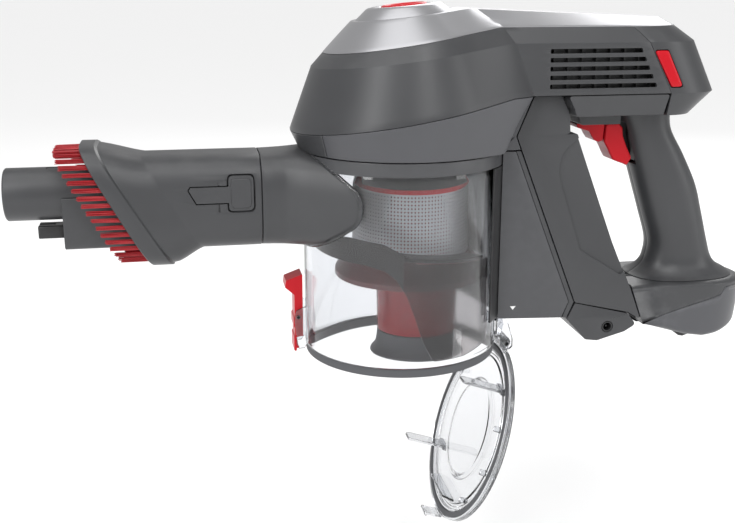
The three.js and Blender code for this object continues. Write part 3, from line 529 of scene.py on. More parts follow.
ALLOY = plastic("pressed_alloy", (0.6, 0.61, 0.63), 0.35, grain=700.0, depth=0.00001, metallic=1.0)
COPPER = plastic("enamelled_copper", (0.55, 0.24, 0.09), 0.35, grain=1600.0, metallic=0.9)
FELT = plastic("filter_felt", (0.72, 0.7, 0.66), 0.95, grain=900.0, depth=0.0002, wear=0.0, dust=0.2)
BOARD = plastic("circuit_board_green", (0.01, 0.11, 0.035), 0.35, grain=500.0)
CELL = plastic("cell_sleeve_blue", (0.03, 0.12, 0.36), 0.3, grain=900.0)
CLEAR = clear_plastic("clear_bin_plastic", (0.84, 0.85, 0.87), 0.03)
CLEAR_LID = clear_plastic("clear_lid_plastic", (0.82, 0.83, 0.85), 0.04)
SMOKE = clear_plastic("smoked_plastic", (0.42, 0.4, 0.4), 0.2, ior=1.2)
DARK_SMOKE = plastic("dark_smoked_plastic", (0.014, 0.011, 0.012), 0.3, depth=0.000006, wear=0.05, dust=0.0,
                     specular=0.25)
MARK = plastic("white_mark", (0.75, 0.75, 0.75), 0.5, wear=0.0, dust=0.0)


def dress(obj, material, body, slot, *nodes):
    """Gives a piece its finish, the body it moves with and the CAD nodes it stands for."""
    obj.data.materials.clear()
    obj.data.materials.append(material)
    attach(obj, body)
    if nodes:
        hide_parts(*nodes)
    return obj


# ---------------------------------------------------------------- repeated shapes


def new_tree(name, inputs):
    """A geometry tree with named inputs, a material input and one geometry output."""
    tree = bpy.data.node_groups.new(name, "GeometryNodeTree")
    tree.interface.new_socket("Geometry", in_out="INPUT", socket_type="NodeSocketGeometry")
    for label, kind, value in inputs:
        socket = tree.interface.new_socket(label, in_out="INPUT", socket_type=kind)
        socket.default_value = value
    tree.interface.new_socket("Material", in_out="INPUT", socket_type="NodeSocketMaterial")
    tree.interface.new_socket("Geometry", in_out="OUTPUT", socket_type="NodeSocketGeometry")
    start = tree.nodes.new("NodeGroupInput")
    end = tree.nodes.new("NodeGroupOutput")
    return tree, start, end


def node(tree, kind, settings=None, **sockets):
    """A node with its properties set and its inputs linked or filled, by socket name."""
    made = tree.nodes.new(kind)
    for label, value in (settings or {}).items():
        setattr(made, label, value)
    for label, value in sockets.items():
        socket = made.inputs[label.replace("_", " ")]
        if isinstance(value, bpy.types.NodeSocket):
            tree.links.new(value, socket)
        else:
            socket.default_value = value
    return made


def close_tree(tree, start, end, instances):
    """Every tree ends the same way: instances made real, then their material set."""
    real = node(tree, "GeometryNodeRealizeInstances", Geometry=instances)
    dressed = node(tree, "GeometryNodeSetMaterial", Geometry=real.outputs[0],
                   Material=start.outputs["Material"])
    tree.links.new(dressed.outputs[0], end.inputs["Geometry"])
    return tree


def grow(name, tree, points, material, values):
    """Runs a geometry tree on a set of points and keeps the plain mesh that it makes."""
    obj = make(name, points, [])
    modifier = obj.modifiers.new("grow", "NODES")
    modifier.node_group = tree
    for item in tree.interface.items_tree:
        if item.in_out == "INPUT" and item.name in values:
            modifier[item.identifier] = values[item.name]
        elif item.in_out == "INPUT" and item.name == "Material":
            modifier[item.identifier] = material
    return bake(obj, 40)


def screen_tree():
    """A round screen of flat uprights crossed by hoops, which leaves rows of small square holes."""
    tree, start, end = new_tree("round_screen", [
        ("Radius", "NodeSocketFloat", 0.036), ("Height", "NodeSocketFloat", 0.037),
        ("Uprights", "NodeSocketInt", 146), ("Hoops", "NodeSocketInt", 25),
        ("Bar", "NodeSocketFloat", 0.0009), ("Sheet", "NodeSocketFloat", 0.0005)])
    value = start.outputs
    size = node(tree, "ShaderNodeCombineXYZ", X=value["Sheet"], Y=value["Bar"], Z=value["Height"])
    bar = node(tree, "GeometryNodeMeshCube", Size=size.outputs[0])
    circle = node(tree, "GeometryNodeCurvePrimitiveCircle", Resolution=value["Uprights"],
                  Radius=value["Radius"])
    spots = node(tree, "GeometryNodeCurveToPoints", {"mode": "EVALUATED"}, Curve=circle.outputs[0])
    position = node(tree, "GeometryNodeInputPosition")
    facing = node(tree, "FunctionNodeAlignEulerToVector", {"axis": "X"}, Vector=position.outputs[0])
    on_origin = node(tree, "GeometryNodeInstanceOnPoints", Points=spots.outputs[0],
                     Instance=bar.outputs["Mesh"],
                     Rotation=facing.outputs[0])
    profile = node(tree, "GeometryNodeCurvePrimitiveQuadrilateral", Width=value["Sheet"], Height=value["Bar"])
    hoop = node(tree, "GeometryNodeCurveToMesh", Curve=circle.outputs[0], Profile_Curve=profile.outputs[0])
    half = node(tree, "ShaderNodeMath", {"operation": "MULTIPLY"})
    tree.links.new(value["Height"], half.inputs[0])
    half.inputs[1].default_value = -0.5
    low = node(tree, "ShaderNodeCombineXYZ", Z=half.outputs[0])
    high_value = node(tree, "ShaderNodeMath", {"operation": "MULTIPLY"})
    tree.links.new(value["Height"], high_value.inputs[0])
    high_value.inputs[1].default_value = 0.5
    high = node(tree, "ShaderNodeCombineXYZ", Z=high_value.outputs[0])
    line = node(tree, "GeometryNodeMeshLine", {"mode": "END_POINTS"}, Count=value["Hoops"],
                Start_Location=low.outputs[0], Offset=high.outputs[0])
    hoops = node(tree, "GeometryNodeInstanceOnPoints", Points=line.outputs[0], Instance=hoop.outputs[0])
    both = node(tree, "GeometryNodeJoinGeometry")
    tree.links.new(on_origin.outputs[0], both.inputs[0])
    tree.links.new(hoops.outputs[0], both.inputs[0])
    lifted = node(tree, "GeometryNodeInstanceOnPoints", Points=start.outputs["Geometry"],
                  Instance=both.outputs[0])
    return close_tree(tree, start, end, lifted.outputs[0])


def tuft_tree():
    """A tuft of tapered filaments on each point, all lying along -X, with a little random spread."""
    tree, start, end = new_tree("bristle_tufts", [
        ("Length", "NodeSocketFloat", 0.017), ("Filament Radius", "NodeSocketFloat", 0.00028),
        ("Tuft Width", "NodeSocketFloat", 0.0026), ("Across", "NodeSocketInt", 5),
        ("Seed", "NodeSocketInt", 7)])
    value = start.outputs
    cone = node(tree, "GeometryNodeMeshCone", Vertices=6, Radius_Bottom=value["Filament Radius"],
                Depth=value["Length"])
    tip = node(tree, "ShaderNodeMath", {"operation": "MULTIPLY"})
    tree.links.new(value["Filament Radius"], tip.inputs[0])
    tip.inputs[1].default_value = 0.55
    tree.links.new(tip.outputs[0], cone.inputs["Radius Top"])
    turned_over = node(tree, "GeometryNodeTransform", Geometry=cone.outputs["Mesh"],
                       Rotation=(0.0, -math.pi / 2, 0.0))
    grid = node(tree, "GeometryNodeMeshGrid", Size_X=value["Tuft Width"], Size_Y=value["Tuft Width"],
                Vertices_X=value["Across"], Vertices_Y=value["Across"])
    upright = node(tree, "GeometryNodeTransform", Geometry=grid.outputs["Mesh"],
                   Rotation=(0.0, math.pi / 2, 0.0))
    tufts = node(tree, "GeometryNodeInstanceOnPoints", Points=start.outputs["Geometry"],
                 Instance=upright.outputs[0])
    roots = node(tree, "GeometryNodeRealizeInstances", Geometry=tufts.outputs[0])
    shift = node(tree, "FunctionNodeRandomValue", {"data_type": "FLOAT_VECTOR"}, Seed=value["Seed"])
    shift.inputs[0].default_value = (-0.0004, -0.00022, -0.00022)
    shift.inputs[1].default_value = (0.0009, 0.00022, 0.00022)
    moved = node(tree, "GeometryNodeSetPosition", Geometry=roots.outputs[0], Offset=shift.outputs[0])
    lean = node(tree, "FunctionNodeRandomValue", {"data_type": "FLOAT_VECTOR"}, Seed=value["Seed"])
    lean.inputs[0].default_value = (0.0, -0.014, -0.014)
    lean.inputs[1].default_value = (6.0, 0.014, 0.014)
    filaments = node(tree, "GeometryNodeInstanceOnPoints", Points=moved.outputs[0],
                     Instance=turned_over.outputs[0], Rotation=lean.outputs[0])
    return close_tree(tree, start, end, filaments.outputs[0])


def rib_tree():
    """A plain rib on each point."""
    tree, start, end = new_tree("ribs", [("Size", "NodeSocketVector", (0.001, 0.001, 0.01))])
    rib = node(tree, "GeometryNodeMeshCube", Size=start.outputs["Size"])
    ribs = node(tree, "GeometryNodeInstanceOnPoints", Points=start.outputs["Geometry"],
                Instance=rib.outputs["Mesh"])
    return close_tree(tree, start, end, ribs.outputs[0])


def screw_tree():
    """A countersunk head with a cross recess on each point, its axis along Y."""
    tree, start, end = new_tree("cross_screws", [
        ("Head Radius", "NodeSocketFloat", 0.0028), ("Head Height", "NodeSocketFloat", 0.002),
        ("Shank Radius", "NodeSocketFloat", 0.0014), ("Shank Length", "NodeSocketFloat", 0.016)])
    value = start.outputs
    head = node(tree, "GeometryNodeMeshCylinder", Vertices=32, Radius=value["Head Radius"],
                Depth=value["Head Height"])
    bars = node(tree, "GeometryNodeJoinGeometry")
    for size in ((0.0032, 0.0007, 0.0016), (0.0007, 0.0032, 0.0016)):
        bar = node(tree, "GeometryNodeMeshCube", Size=size)
        lifted = node(tree, "GeometryNodeTransform", Geometry=bar.outputs["Mesh"],
                      Translation=(0.0, 0.0, -0.001))
        tree.links.new(lifted.outputs[0], bars.inputs[0])
    cut = node(tree, "GeometryNodeMeshBoolean", {"operation": "DIFFERENCE"})
    tree.links.new(head.outputs["Mesh"], cut.inputs["Mesh 1"])
    tree.links.new(bars.outputs[0], cut.inputs["Mesh 2"])
    shank = node(tree, "GeometryNodeMeshCylinder", Vertices=20, Radius=value["Shank Radius"],
                 Depth=value["Shank Length"])
    lowered = node(tree, "GeometryNodeTransform", Geometry=shank.outputs["Mesh"],
                   Translation=(0.0, 0.0, 0.009))
    whole = node(tree, "GeometryNodeJoinGeometry")
    tree.links.new(cut.outputs[0], whole.inputs[0])
    tree.links.new(lowered.outputs[0], whole.inputs[0])
    laid = node(tree, "GeometryNodeTransform", Geometry=whole.outputs[0], Rotation=(math.pi / 2, 0.0, 0.0))
    screws = node(tree, "GeometryNodeInstanceOnPoints", Points=start.outputs["Geometry"],
                  Instance=laid.outputs[0])
    return close_tree(tree, start, end, screws.outputs[0])


# ---------------------------------------------------------------- upper body

LOWER_SEAM = (0.172, 147.2, 156.5)
CREASE = (0.13, 178.7, 185.8)
COVER_LINE = (0.16, 187, 194.7)

FOOT = {"rx": 61, "ry": 61, "corner": 62, "half": 33.5, "straight": 149, "end": 175}
WAIST = {"rx": 66, "ry": 66, "corner": 69, "half": 36.5, "straight": 151, "end": 190}
SHOULDER = {"rx": 53, "ry": 56, "corner": 57.5, "half": 34.5, "straight": 138, "end": 176}
EDGE = {"rx": 46, "ry": 51, "corner": 51, "half": 31.5, "straight": 129, "end": 163}
TOP = {"rx": 30, "ry": 33, "corner": 40, "half": 16, "straight": 118, "end": 157}
CREST = {"rx": 12, "ry": 6, "corner": 20, "half": 3, "straight": 100, "end": 145}


def seam_height(line, x, shift=0):
    slope, rise, level = line
    return min(rise + slope * x, level) + shift


def lower_edge(x):
    return min(max(124.9 + (x - 50) * 0.6, 124.9), 143.6)


LEVELS = [
    (FOOT, lower_edge), (WAIST, lambda x: seam_height(LOWER_SEAM, x)),
    (SHOULDER, lambda x: seam_height(CREASE, x)), (EDGE, lambda x: seam_height(COVER_LINE, x)),
    (TOP, lambda x: min(200.5 + 0.117 * x, 206 - 0.046 * x)),
    (CREST, lambda x: min(201.2 + 0.117 * x, 206.4 - 0.046 * x)),
]


def side_outline(sizes, stop=None):
    """The body's near side seen from above, from the front to x = stop, or to the middle of the back."""
    side = []
    sweep = 44
    for i in range(sweep + 1):
        angle = math.radians(180 + 118 * i / sweep)
        side.append((sizes["rx"] * math.cos(angle), sizes["ry"] * math.sin(angle)))
    start, end = Vector(side[-1]), Vector((sizes["corner"], -sizes["half"]))
    chord = (end - start).length
    leaving = (Vector(side[-1]) - Vector(side[-2])).normalized() * chord
    slant = math.atan2(end.y - start.y, end.x - start.x) + math.radians(9)
    arriving = Vector((math.cos(slant), math.sin(slant))) * chord
    steps = 14
    for i in range(1, steps + 1):
        t = i / steps
        point = (start * (2 * t ** 3 - 3 * t ** 2 + 1) + leaving * (t ** 3 - 2 * t ** 2 + t)
                 + end * (3 * t ** 2 - 2 * t ** 3) + arriving * (t ** 3 - t ** 2))
        side.append(tuple(point))
    last = sizes["straight"] if stop is None else stop
    for i in range(1, 9):
        side.append((mix(sizes["corner"], last, i / 8), -sizes["half"]))
    if stop is None:
        side += back_outline(sizes, sizes["straight"])[1:]
    return side


def back_outline(sizes, start):
    """The rounded back on the near side, from x = start to the middle."""
    side = [(start, -sizes["half"])]
    steps = 22
    for i in range(1, steps + 1):
        t = i / steps * math.pi / 2
        x = mix(sizes["straight"], sizes["end"], power(math.sin(t), 0.8))
        side.append((max(x, start + 0.02 * i), -sizes["half"] * power(math.cos(t), 0.8)))
    return side


def skin_rows(low, high, steps, outline, first=0, last=1, low_shift=0.0, high_shift=0.0):
    """Rings between two levels of the body, with the outline function giving each ring's points."""
    (sizes_a, height_a), (sizes_b, height_b) = LEVELS[low], LEVELS[high]
    rows = []
    for k in range(steps + 1):
        t = mix(first, last, k / steps)
        sizes = {key: mix(sizes_a[key], sizes_b[key], t) for key in sizes_a}
        shift = mix(low_shift, high_shift, t)
        rows.append([(x, y, mix(height_a(x), height_b(x), t) + shift) for x, y in outline(sizes, low + t)])
    return rows


def split_at(level):
    """Where the rear cap's seam crosses each level of the body."""
    return along([(0, 151.4), (1, 152), (2, 137.6), (3, 128)], level)


def open_front(sizes, level):
    side = side_outline(sizes, split_at(level) - GAP / 2)
    return side[::-1] + [(x, -y) for x, y in side[1:]]


def whole_ring(sizes, level):
    side = side_outline(sizes)
    return side + [(x, -y) for x, y in side[-2:0:-1]]


def rear_ring(sizes, level):
    side = back_outline(sizes, split_at(level) + GAP / 2)
    return side + [(x, -y) for x, y in side[-2::-1]]


def clipped(points, keep):
    """The part of a line of points where keep is positive, cut where it crosses zero."""
    result = []
    for a, b in zip(points, points[1:]):
        ka, kb = keep(*a), keep(*b)
        if ka >= 0:
            result.append(a)
        if (ka >= 0) != (kb >= 0):
            t = ka / (ka - kb)
            result.append((mix(a[0], b[0], t), mix(a[1], b[1], t)))
    if keep(*points[-1]) >= 0:
        result.append(points[-1])
    return result


def resampled(points, count):
    """The same line of points at even steps along its length."""
    lengths = [0]
    for a, b in zip(points, points[1:]):
        lengths.append(lengths[-1] + math.dist(a, b))
    result = []
    k = 0
    for i in range(count):
        target = lengths[-1] * i / (count - 1)
        while k < len(points) - 2 and lengths[k + 1] < target:
            k += 1
        t = (target - lengths[k]) / max(1e-9, lengths[k + 1] - lengths[k])
        result.append((mix(points[k][0], points[k + 1][0], t), mix(points[k][1], points[k + 1][1], t)))
    return result


INSIDE_BODY = (40, 0, 165)
BUTTON_X = 1
BUTTON_ROOM = 10.6


def build_casing():
    rows = skin_rows(1, 2, 8, open_front, low_shift=0.25)
    rows += skin_rows(2, 3, 4, open_front, high_shift=-0.15)[1:]
    casing = sheet("upper_casing_shell", rows, INSIDE_BODY, 2.2)
    bake(casing)
    pitch = 4.9
    slots = []
    for side in (-1, 1):
        for i in range(5):
            low = 160.4 + i * pitch
            outline = rounded([(78, low), (143 - 2.3 * i, low), (142.2 - 2.3 * i, low + 2.6),
                               (78, low + 2.6)], 0.7)
            near, far = (-44, -24) if side < 0 else (24, 44)
            slots.append(prism("slot", outline, near, far))
    carve(casing, [joined("slots", slots)])
    soften(casing, 0.45, 2, limit=12, sharp=50)
    dress(casing, DARK, "body", "dark_plastic", "upper_casing")

    ribs = [(82 + 8.5 * i, side * 29, 171.5) for i in range(8) for side in (-1, 1)]
    louvres = grow("vent_ribs", rib_tree(), ribs, BLACK, {"Size": (0.0012, 0.003, 0.0245)})
    dress(louvres, BLACK, "body", "black_plastic")
    liner = [block("liner", 74, 146, side * 27 - 0.5, side * 27 + 0.5, 157.5, 184) for side in (-1, 1)]
    dress(soften(joined("vent_liner", liner), 0.2), BLACK, "body", "black_plastic")


def build_cover():
    rows = skin_rows(3, 4, 8, whole_ring, low_shift=0.15)
    rows += skin_rows(4, 5, 8, whole_ring)[1:]
    count = len(rows[0])
    points = [p for row in rows for p in row]
    faces = grid_faces(len(rows), count, wrap_columns=True)
    base = len(points) - count
    for i in range(count // 2):
        corners = (base + i, base + i + 1, base + (count - i - 1) % count, base + (count - i) % count)
        faces.append(tuple(dict.fromkeys(corners)))
    cover = make("top_cover_shell", points, [f for f in faces if len(f) > 2])
    wall = cover.modifiers.new("wall", "SOLIDIFY")
    wall.thickness = 2 * MM
    wall.offset = -1
    if sum(face.normal.z * face.area for face in cover.data.polygons) < 0:
        cover.data.flip_normals()
    carve(cover, [cylinder("button_room", BUTTON_ROOM, 190, 215, (BUTTON_X, 0), "Z")])
    soften(cover, 0.9, 3, limit=14, sharp=50)
    dress(cover, SILVER, "body", "silver_paint", "top_cover")

    tilt = Matrix.Rotation(math.radians(-5.3), 4, "Y")
    seat = Vector((BUTTON_X, 0, 205.2))

    def on_boss(obj):
        shift = place(seat)
        origin = place((0, 0, 0))
        obj.data.transform(Matrix.Translation(shift) @ tilt @ Matrix.Translation(-origin))
        return obj

    boss = turned("cover_boss", [
        (13.8, -6), (31.5, -9.5), (30.2, -6.6), (28.6, -4.9), (25.5, -2.4), (22.4, 0.2), (21, 0.9),
        (19.4, 1.2), (15.4, 1.1), (14.2, 0.7), (13.8, 0.1)])
    dress(soften(on_boss(boss), 0.35, 2), SILVER, "body", "silver_paint")
    ring = turned("mode_ring_bezel", [
        (9.3, -5), (13.5, -5), (13.5, 0.8), (12.9, 1.5), (12, 1.9), (10.6, 1.7), (9.3, 0.9)])
    dress(soften(on_boss(ring), 0.2, 2), RED, "body", "red_plastic", "mode_ring")
    button = turned("mode_button_cap", [
        (0, -2.6), (9, -2.6), (9, 0.5), (8.4, 1), (5.4, 0.5), (5, 0.1), (4.6, 0.5), (2.4, 1.0), (0, 1.1)])
    soften(on_boss(button), 0.2, 2)
    dress(button, BLACK, "mode_button", "black_plastic", "mode_button")


def build_rear_cap():
    floor_row = skin_rows(0, 1, 1, rear_ring, first=0, last=0.01)[0]
    inward = [(x, y * 0.5, z) for x, y, z in floor_row]
    middle = [(x, y * 0.03, z) for x, y, z in floor_row]
    rows = [middle, inward] + skin_rows(0, 1, 5, rear_ring) + skin_rows(1, 2, 8, rear_ring)[1:]
    rows += skin_rows(2, 3, 4, rear_ring, high_shift=-0.15)[1:]
    cap = sheet("rear_cap_shell", rows, (150, 0, 168), 2.2)
    bake(cap)
    outline = [(140.6, 181.0), (148.9, 181.0), (159.0, 160.4), (151.9, 160.4)]
    hole = rounded([(140.0, 181.6), (149.2, 181.6), (159.9, 159.8), (151.5, 159.8)], 1.6)
    carve(cap, [prism("hole", hole, -44, -20), prism("hole", hole, 20, 44)])
    soften(cap, 0.5, 2, limit=14, sharp=50)
    dress(cap, DARK, "rear_cap", "dark_plastic", "rear_cap")
    for side, name in ((-1, "left"), (1, "right")):
        button = crowned_button(f"side_button_{name}_pad", rounded(outline, 1.5), side)
        dress(button, RED, f"side_button_{name}", "red_plastic", f"side_button_{name}")


def skin_y(x, z):
    """How far the body's side stands out at a place above the waist."""
    level = 1 + min(1, max(0, (z - 156.5) / (185.8 - 156.5)))
    sizes = {key: mix(WAIST[key], SHOULDER[key], level - 1) for key in WAIST}
    if x <= sizes["straight"]:
        return sizes["half"]
    share = min(1, (x - sizes["straight"]) / (sizes["end"] - sizes["straight"]))
    return sizes["half"] * power(math.cos(math.asin(power(share, 1.25))), 0.8)


def crowned_button(name, outline, side):
    """A pad that follows the body's side and stands a little proud of it."""
    middle = Vector((sum(x for x, z in outline) / len(outline), sum(z for x, z in outline) / len(outline)))
    rings = [(1.0, -2.4), (1.0, 0.2), (0.975, 0.6), (0.93, 0.8), (0.6, 0.85), (0.3, 0.85), (0.02, 0.85)]
    rows = []
    for scale, raised in rings:
        spots = [middle + (Vector(p) - middle) * scale for p in outline]
        rows.append([(p.x, side * (skin_y(p.x, p.y) + raised), p.y) for p in spots])
    return bake(loft(name, rows), 50)


def build_lower_body():
    neck = 39.3

    def band_side(side):
        def outline(sizes, level):
            points = side_outline(sizes, 100)
            stop = mix(52, 68.4, level)
            points = clipped(points, lambda x, y: -y - neck - 0.3 + 4 * (1 - level) if x < 0 else 1)
            points = clipped(points, lambda x, y: stop - x)
            return [(x, side * -y) for x, y in resampled(points, 60)]
        return outline

    for side, name in ((-1, "near"), (1, "far")):
        rows = skin_rows(0, 1, 8, band_side(side), high_shift=-0.25)
        band = sheet(f"lower_band_{name}", rows, (20, 0, 140), 2)
        soften(band, 0.4, 2, limit=25, sharp=50)
        dress(band, BAND_GREY, "body", "grey_plastic", *(["lower_band"] if side < 0 else []))

    def front(sizes, level):
        side = clipped(side_outline(sizes, 100), lambda x, y: y + neck - 4 * (1 - level) if x < 0 else -1)
        side = resampled(side, 30)
        return side[::-1] + [(x, -y) for x, y in side[1:]]

    rows = skin_rows(0, 1, 8, front, high_shift=-0.25)
    saddle = sheet("neck_saddle_shell", rows, (20, 0, 140), 2)
    soften(saddle, 0.4, 2, limit=25, sharp=50)
    dress(saddle, DARK, "body", "dark_plastic", "neck_saddle")

    collar = turned("bin_collar_ring", [
        (52, BIN_TOP + GAP), (COLLAR_RADIUS, BIN_TOP + GAP), (COLLAR_RADIUS, COLLAR_TOP), (52, COLLAR_TOP)])
    dress(soften(collar, 0.5, 2), RIM_GREY, "body", "grey_plastic", "bin_collar")
    bridge = rounded([(89.6, 156.2), (94.2, 148.4), (96.2, 143.9), (149.6, 143.9), (151.6, 156.2)], 1.5)
    bridge = prism("rear_bridge_shell", bridge, -1, 1)
    top, bottom = place((0, 0, 156.5)).z, place((0, 0, 143.6)).z
    for vertex in bridge.data.vertices:
        share = (vertex.co.z - bottom) / (top - bottom)
        vertex.co.y *= mix(33.3, 36.3, min(1, max(0, share)))
    keel = rounded([(103, 145.2), (105.6, 137.4), (107, 136.6), (131, 136.6), (131, 145.2)], 0.8)
    keel = prism("keel", keel, -16, 16)
    whole = joined("rear_bridge_shell", [soften(bridge, 1.6, 3), soften(keel, 0.8, 2)])
    dress(whole, DARK, "body", "dark_plastic", "rear_bridge")


# ---------------------------------------------------------------- spine and battery

SLOPE = Vector((0.369, -0.929)).normalized()
PACK_FRONT = Vector((62, 133))
PACK_DEPTH = 34.4
PACK_TOP = 155.9


def along_slope(distance, out=0):
    """A place on the battery's slope: down it from the front corner, and out towards the back."""
    return (PACK_FRONT.x + SLOPE.x * distance - SLOPE.y * out,
            PACK_FRONT.y + SLOPE.y * distance + SLOPE.x * out)


PACK_LENGTH = (PACK_FRONT.y - 30.2) / -SLOPE.y
PACK_FRONT_FOOT = along_slope(PACK_LENGTH)


def build_spine():
    half = COLUMN_HALF
    edge = 3.4
    foot_x = PACK_FRONT_FOOT[0] - GAP
    seam_x = lambda z: PACK_FRONT.x - GAP + (PACK_FRONT.y - z) * SLOPE.x / -SLOPE.y
    lower = [(46, 24.2), (46, 124.2), (seam_x(124.2) - edge, 124.2), (seam_x(31) - edge, 31), (94.6, 21),
             (56, 22.6)]
    column = prism("spine_column", lower, -half, half)
    room = cylinder("room", 61.4, -50, 180, segments=128)
    carve(column, [room])
    soften(column, 0.8, 3, limit=30)
    dress(column, COLUMN_GREY, "body", "grey_plastic", "spine")
    strip = [(seam_x(124.4) - edge + 0.25, 124.4), (seam_x(124.4), 124.4),
             (foot_x, PACK_FRONT_FOOT[1] + 0.3), (98.4, 20.6), (95.2, 20.8), (seam_x(31) - edge + 0.25, 31)]
    dress(soften(prism("spine_edge", strip, -half + 0.5, half - 0.5), 0.5, 2), DARK, "body", "dark_plastic")
    upper = [(46, 124.9), (seam_x(124.9), 124.9), (PACK_FRONT.x - GAP, PACK_FRONT.y), (71.1, PACK_TOP),
             (68.6, PACK_TOP), (51.6, 124.9)]
    dress(soften(prism("spine_bracket", upper, -half, half), 0.8, 3), COLUMN_GREY, "body", "grey_plastic")

    arc = lambda radius, low, high: [(radius * math.cos(math.radians(mix(low, high, i / 40))),
                                      radius * math.sin(math.radians(mix(low, high, i / 40))))
                                     for i in range(41)]
    liner = prism("spine_liner_shell", arc(61.1, -41, 41) + arc(59.9, 41, -41), 24, BIN_TOP, "Z")
    dress(soften(liner, 0.2, 2), BLACK, "body", "black_plastic", "spine_liner")
    ribs = [(59.8 * math.cos(math.radians(a)), 59.8 * math.sin(math.radians(a)), 70.2)
            for a in (-38.5, -35.2, -31.9, 31.9, 35.2, 38.5)]
    dress(grow("liner_ribs", rib_tree(), ribs, BLACK, {"Size": (0.0009, 0.0011, 0.0915)}), BLACK, "body",
          "black_plastic")
    button = rounded([(72, 19), (88, 18.2), (88, 26), (72, 26)], 0.8)
    dress(soften(prism("bin_release_pad", button, -10, 10), 0.7, 3), BLACK, "bin_release", "black_plastic",
          "bin_release_button")


def build_battery():
    half = COLUMN_HALF
    outline = [
        (71.6, PACK_TOP - 0.2), (88.2, PACK_TOP - 0.2), (93.5, 144.5), (94.3, 134.3), (91.9, 133.4),
        along_slope(13, PACK_DEPTH), along_slope(85, PACK_DEPTH), (138.2, 38), (146.6, 16.6), (138.1, 22.1),
        (PACK_FRONT_FOOT[0] + 0.15, PACK_FRONT_FOOT[1] + 0.1), (PACK_FRONT.x + 0.15, PACK_FRONT.y)]
    pack = prism("battery_case_shell", rounded(outline, 1.2, 3), -half, half)
    scoop = rounded([(93.0, 125.4), (89.6, 121), (88.2, 113.8), (89.4, 106.3), (104.1, 63.4), (131, 46.5),
                     (150, 60), (110, 140)], [3, 6, 6, 5, 5, 1, 1, 1], 6)
    cutters = []
    for side in (-1, 1):
        near, far = sorted((side * (half - 1.7), side * (half + 4)))
        cutters.append(prism("scoop", scoop, near, far))
    carve(pack, cutters)
    soften(pack, 1.1, 4, limit=30)
    dress(pack, DARK, "battery", "dark_plastic", "battery_case")

    foot = [(PACK_FRONT_FOOT[0] + 0.3, PACK_FRONT_FOOT[1] - 0.5), (137.9, 21.1), (143.9, 13.9), (136.3, 9.5),
            (118.8, 4.7), (111, 5.8), (98.4, 19.6)]
    shoe = prism("battery_foot_shell", rounded(foot, [0.6, 1, 2.5, 2, 3, 2, 1.5], 4), -half, half)
    carve(shoe, [cylinder("hole", 3.7, -half - 1, -half + 9, (125, 13.3), "Y")])
    soften(shoe, 1.0, 4, limit=30)
    dress(shoe, DARK, "battery", "dark_plastic", "battery_foot")
    dress(charge_jack(), BLACK, "battery", "black_plastic", "charge_socket")


def charge_jack():
    """The round charging jack in the foot's near side, with its centre pin."""
    face = -COLUMN_HALF
    profile = [(3.3, 0.2), (2.5, 0.2), (2.5, 7), (0.8, 7), (0.8, 2.2), (0.5, 1.9), (0, 1.9)]
    outer = [(0, 8.4), (3.3, 8.4)]
    jack = turned("charge_jack", profile + outer, segments=48)
    spin = Matrix.Rotation(math.radians(-90), 4, "X")
    origin = place((0, 0, 0))
    jack.data.transform(Matrix.Translation(place((125, face, 13.3))) @ spin @ Matrix.Translation(-origin))
    return soften(jack, 0.15, 2)


# ---------------------------------------------------------------- handle

GRIP_LEVELS = [
    (38.6, 149, 217, 25), (40.8, 153, 214, 21), (44.5, 157.5, 207.5, 17.6), (50, 160.2, 203.2, 16),
    (61, 161, 199.3, 16), (80, 155, 193.8, 16), (97.2, 149.2, 188.3, 16), (116, 143, 178.4, 16),
    (131.7, 138, 169, 16), (GRIP_TOP, 132.4, 167.5, 16)]


def build_grip():
    rows = []
    for z, front, rear, half in GRIP_LEVELS:
        section = superellipse((rear - front) / 2, half, 2.5, 72)
        rows.append([((front + rear) / 2 + a, b, z) for a, b in section])
    rows = blended(rows, 7)
    pocket = [(118, 136.6), (145.9, 136.6), (145.9, 127), (150.6, 110.5), (128, 110.5)]
    keel_room = [(100, 136.4), (131.3, 136.4), (131.3, 150), (100, 150)]
    for side, name in ((-1, "left"), (1, "right")):
        shell = loft(f"grip_{name}_shell", rows)
        keep = (-60, -GAP / 4) if side < 0 else (GAP / 4, 60)
        carve(shell, [prism("half", [(80, 20), (240, 20), (240, 160), (80, 160)], *keep)], "INTERSECT")
        cutters = [prism("pocket", pocket, -8.4, 8.4), prism("room", keel_room, -40, 40)]
        if side > 0:
            cutters += [cylinder("hole", 3.2, 10, 40, spot, "Y") for spot in ((159, 128), (182, 62))]
        carve(shell, cutters)
        soften(shell, 0.3, 2, limit=35, sharp=45)
        dress(shell, DARK, "body", "dark_plastic", f"grip_{name}")
    heads = [(159, 11.4, 128), (182, 11.4, 62)]
    screws = grow("grip_screws", screw_tree(), heads, STEEL, {})
    dress(screws, STEEL, "body", "bright_steel", "grip_screw_1", "grip_screw_2")


def build_trigger():
    finger = [(125.6, 135.9), (124.8, 124.9), (127.4, 120.6), (129.4, 116.6), (131.2, 113.6), (134.6, 112.2),
              (138, 111.2), (140.6, 109.6), (143.4, 114.6), (139.6, 122), (137, 128.2), (136.4, 133.2),
              (134, 135.9)]
    trigger = prism("trigger_lever", rounded(finger, 1.6), -8, 8)
    dress(soften(trigger, 1.3, 4), RED, "trigger", "red_plastic", "trigger")
    lock = [(106.3, 136.3), (107.6, 133.8), (111.4, 132.6), (115.1, 131.5), (116.8, 128.4), (118.6, 125.9),
            (121.4, 124.8), (124.2, 125.7), (124.9, 136.3)]
    slider = prism("trigger_lock_slider", rounded(lock, 0.9), -7, 7)
    dress(soften(slider, 0.9, 3), RED, "trigger_lock", "red_plastic", "trigger_lock")


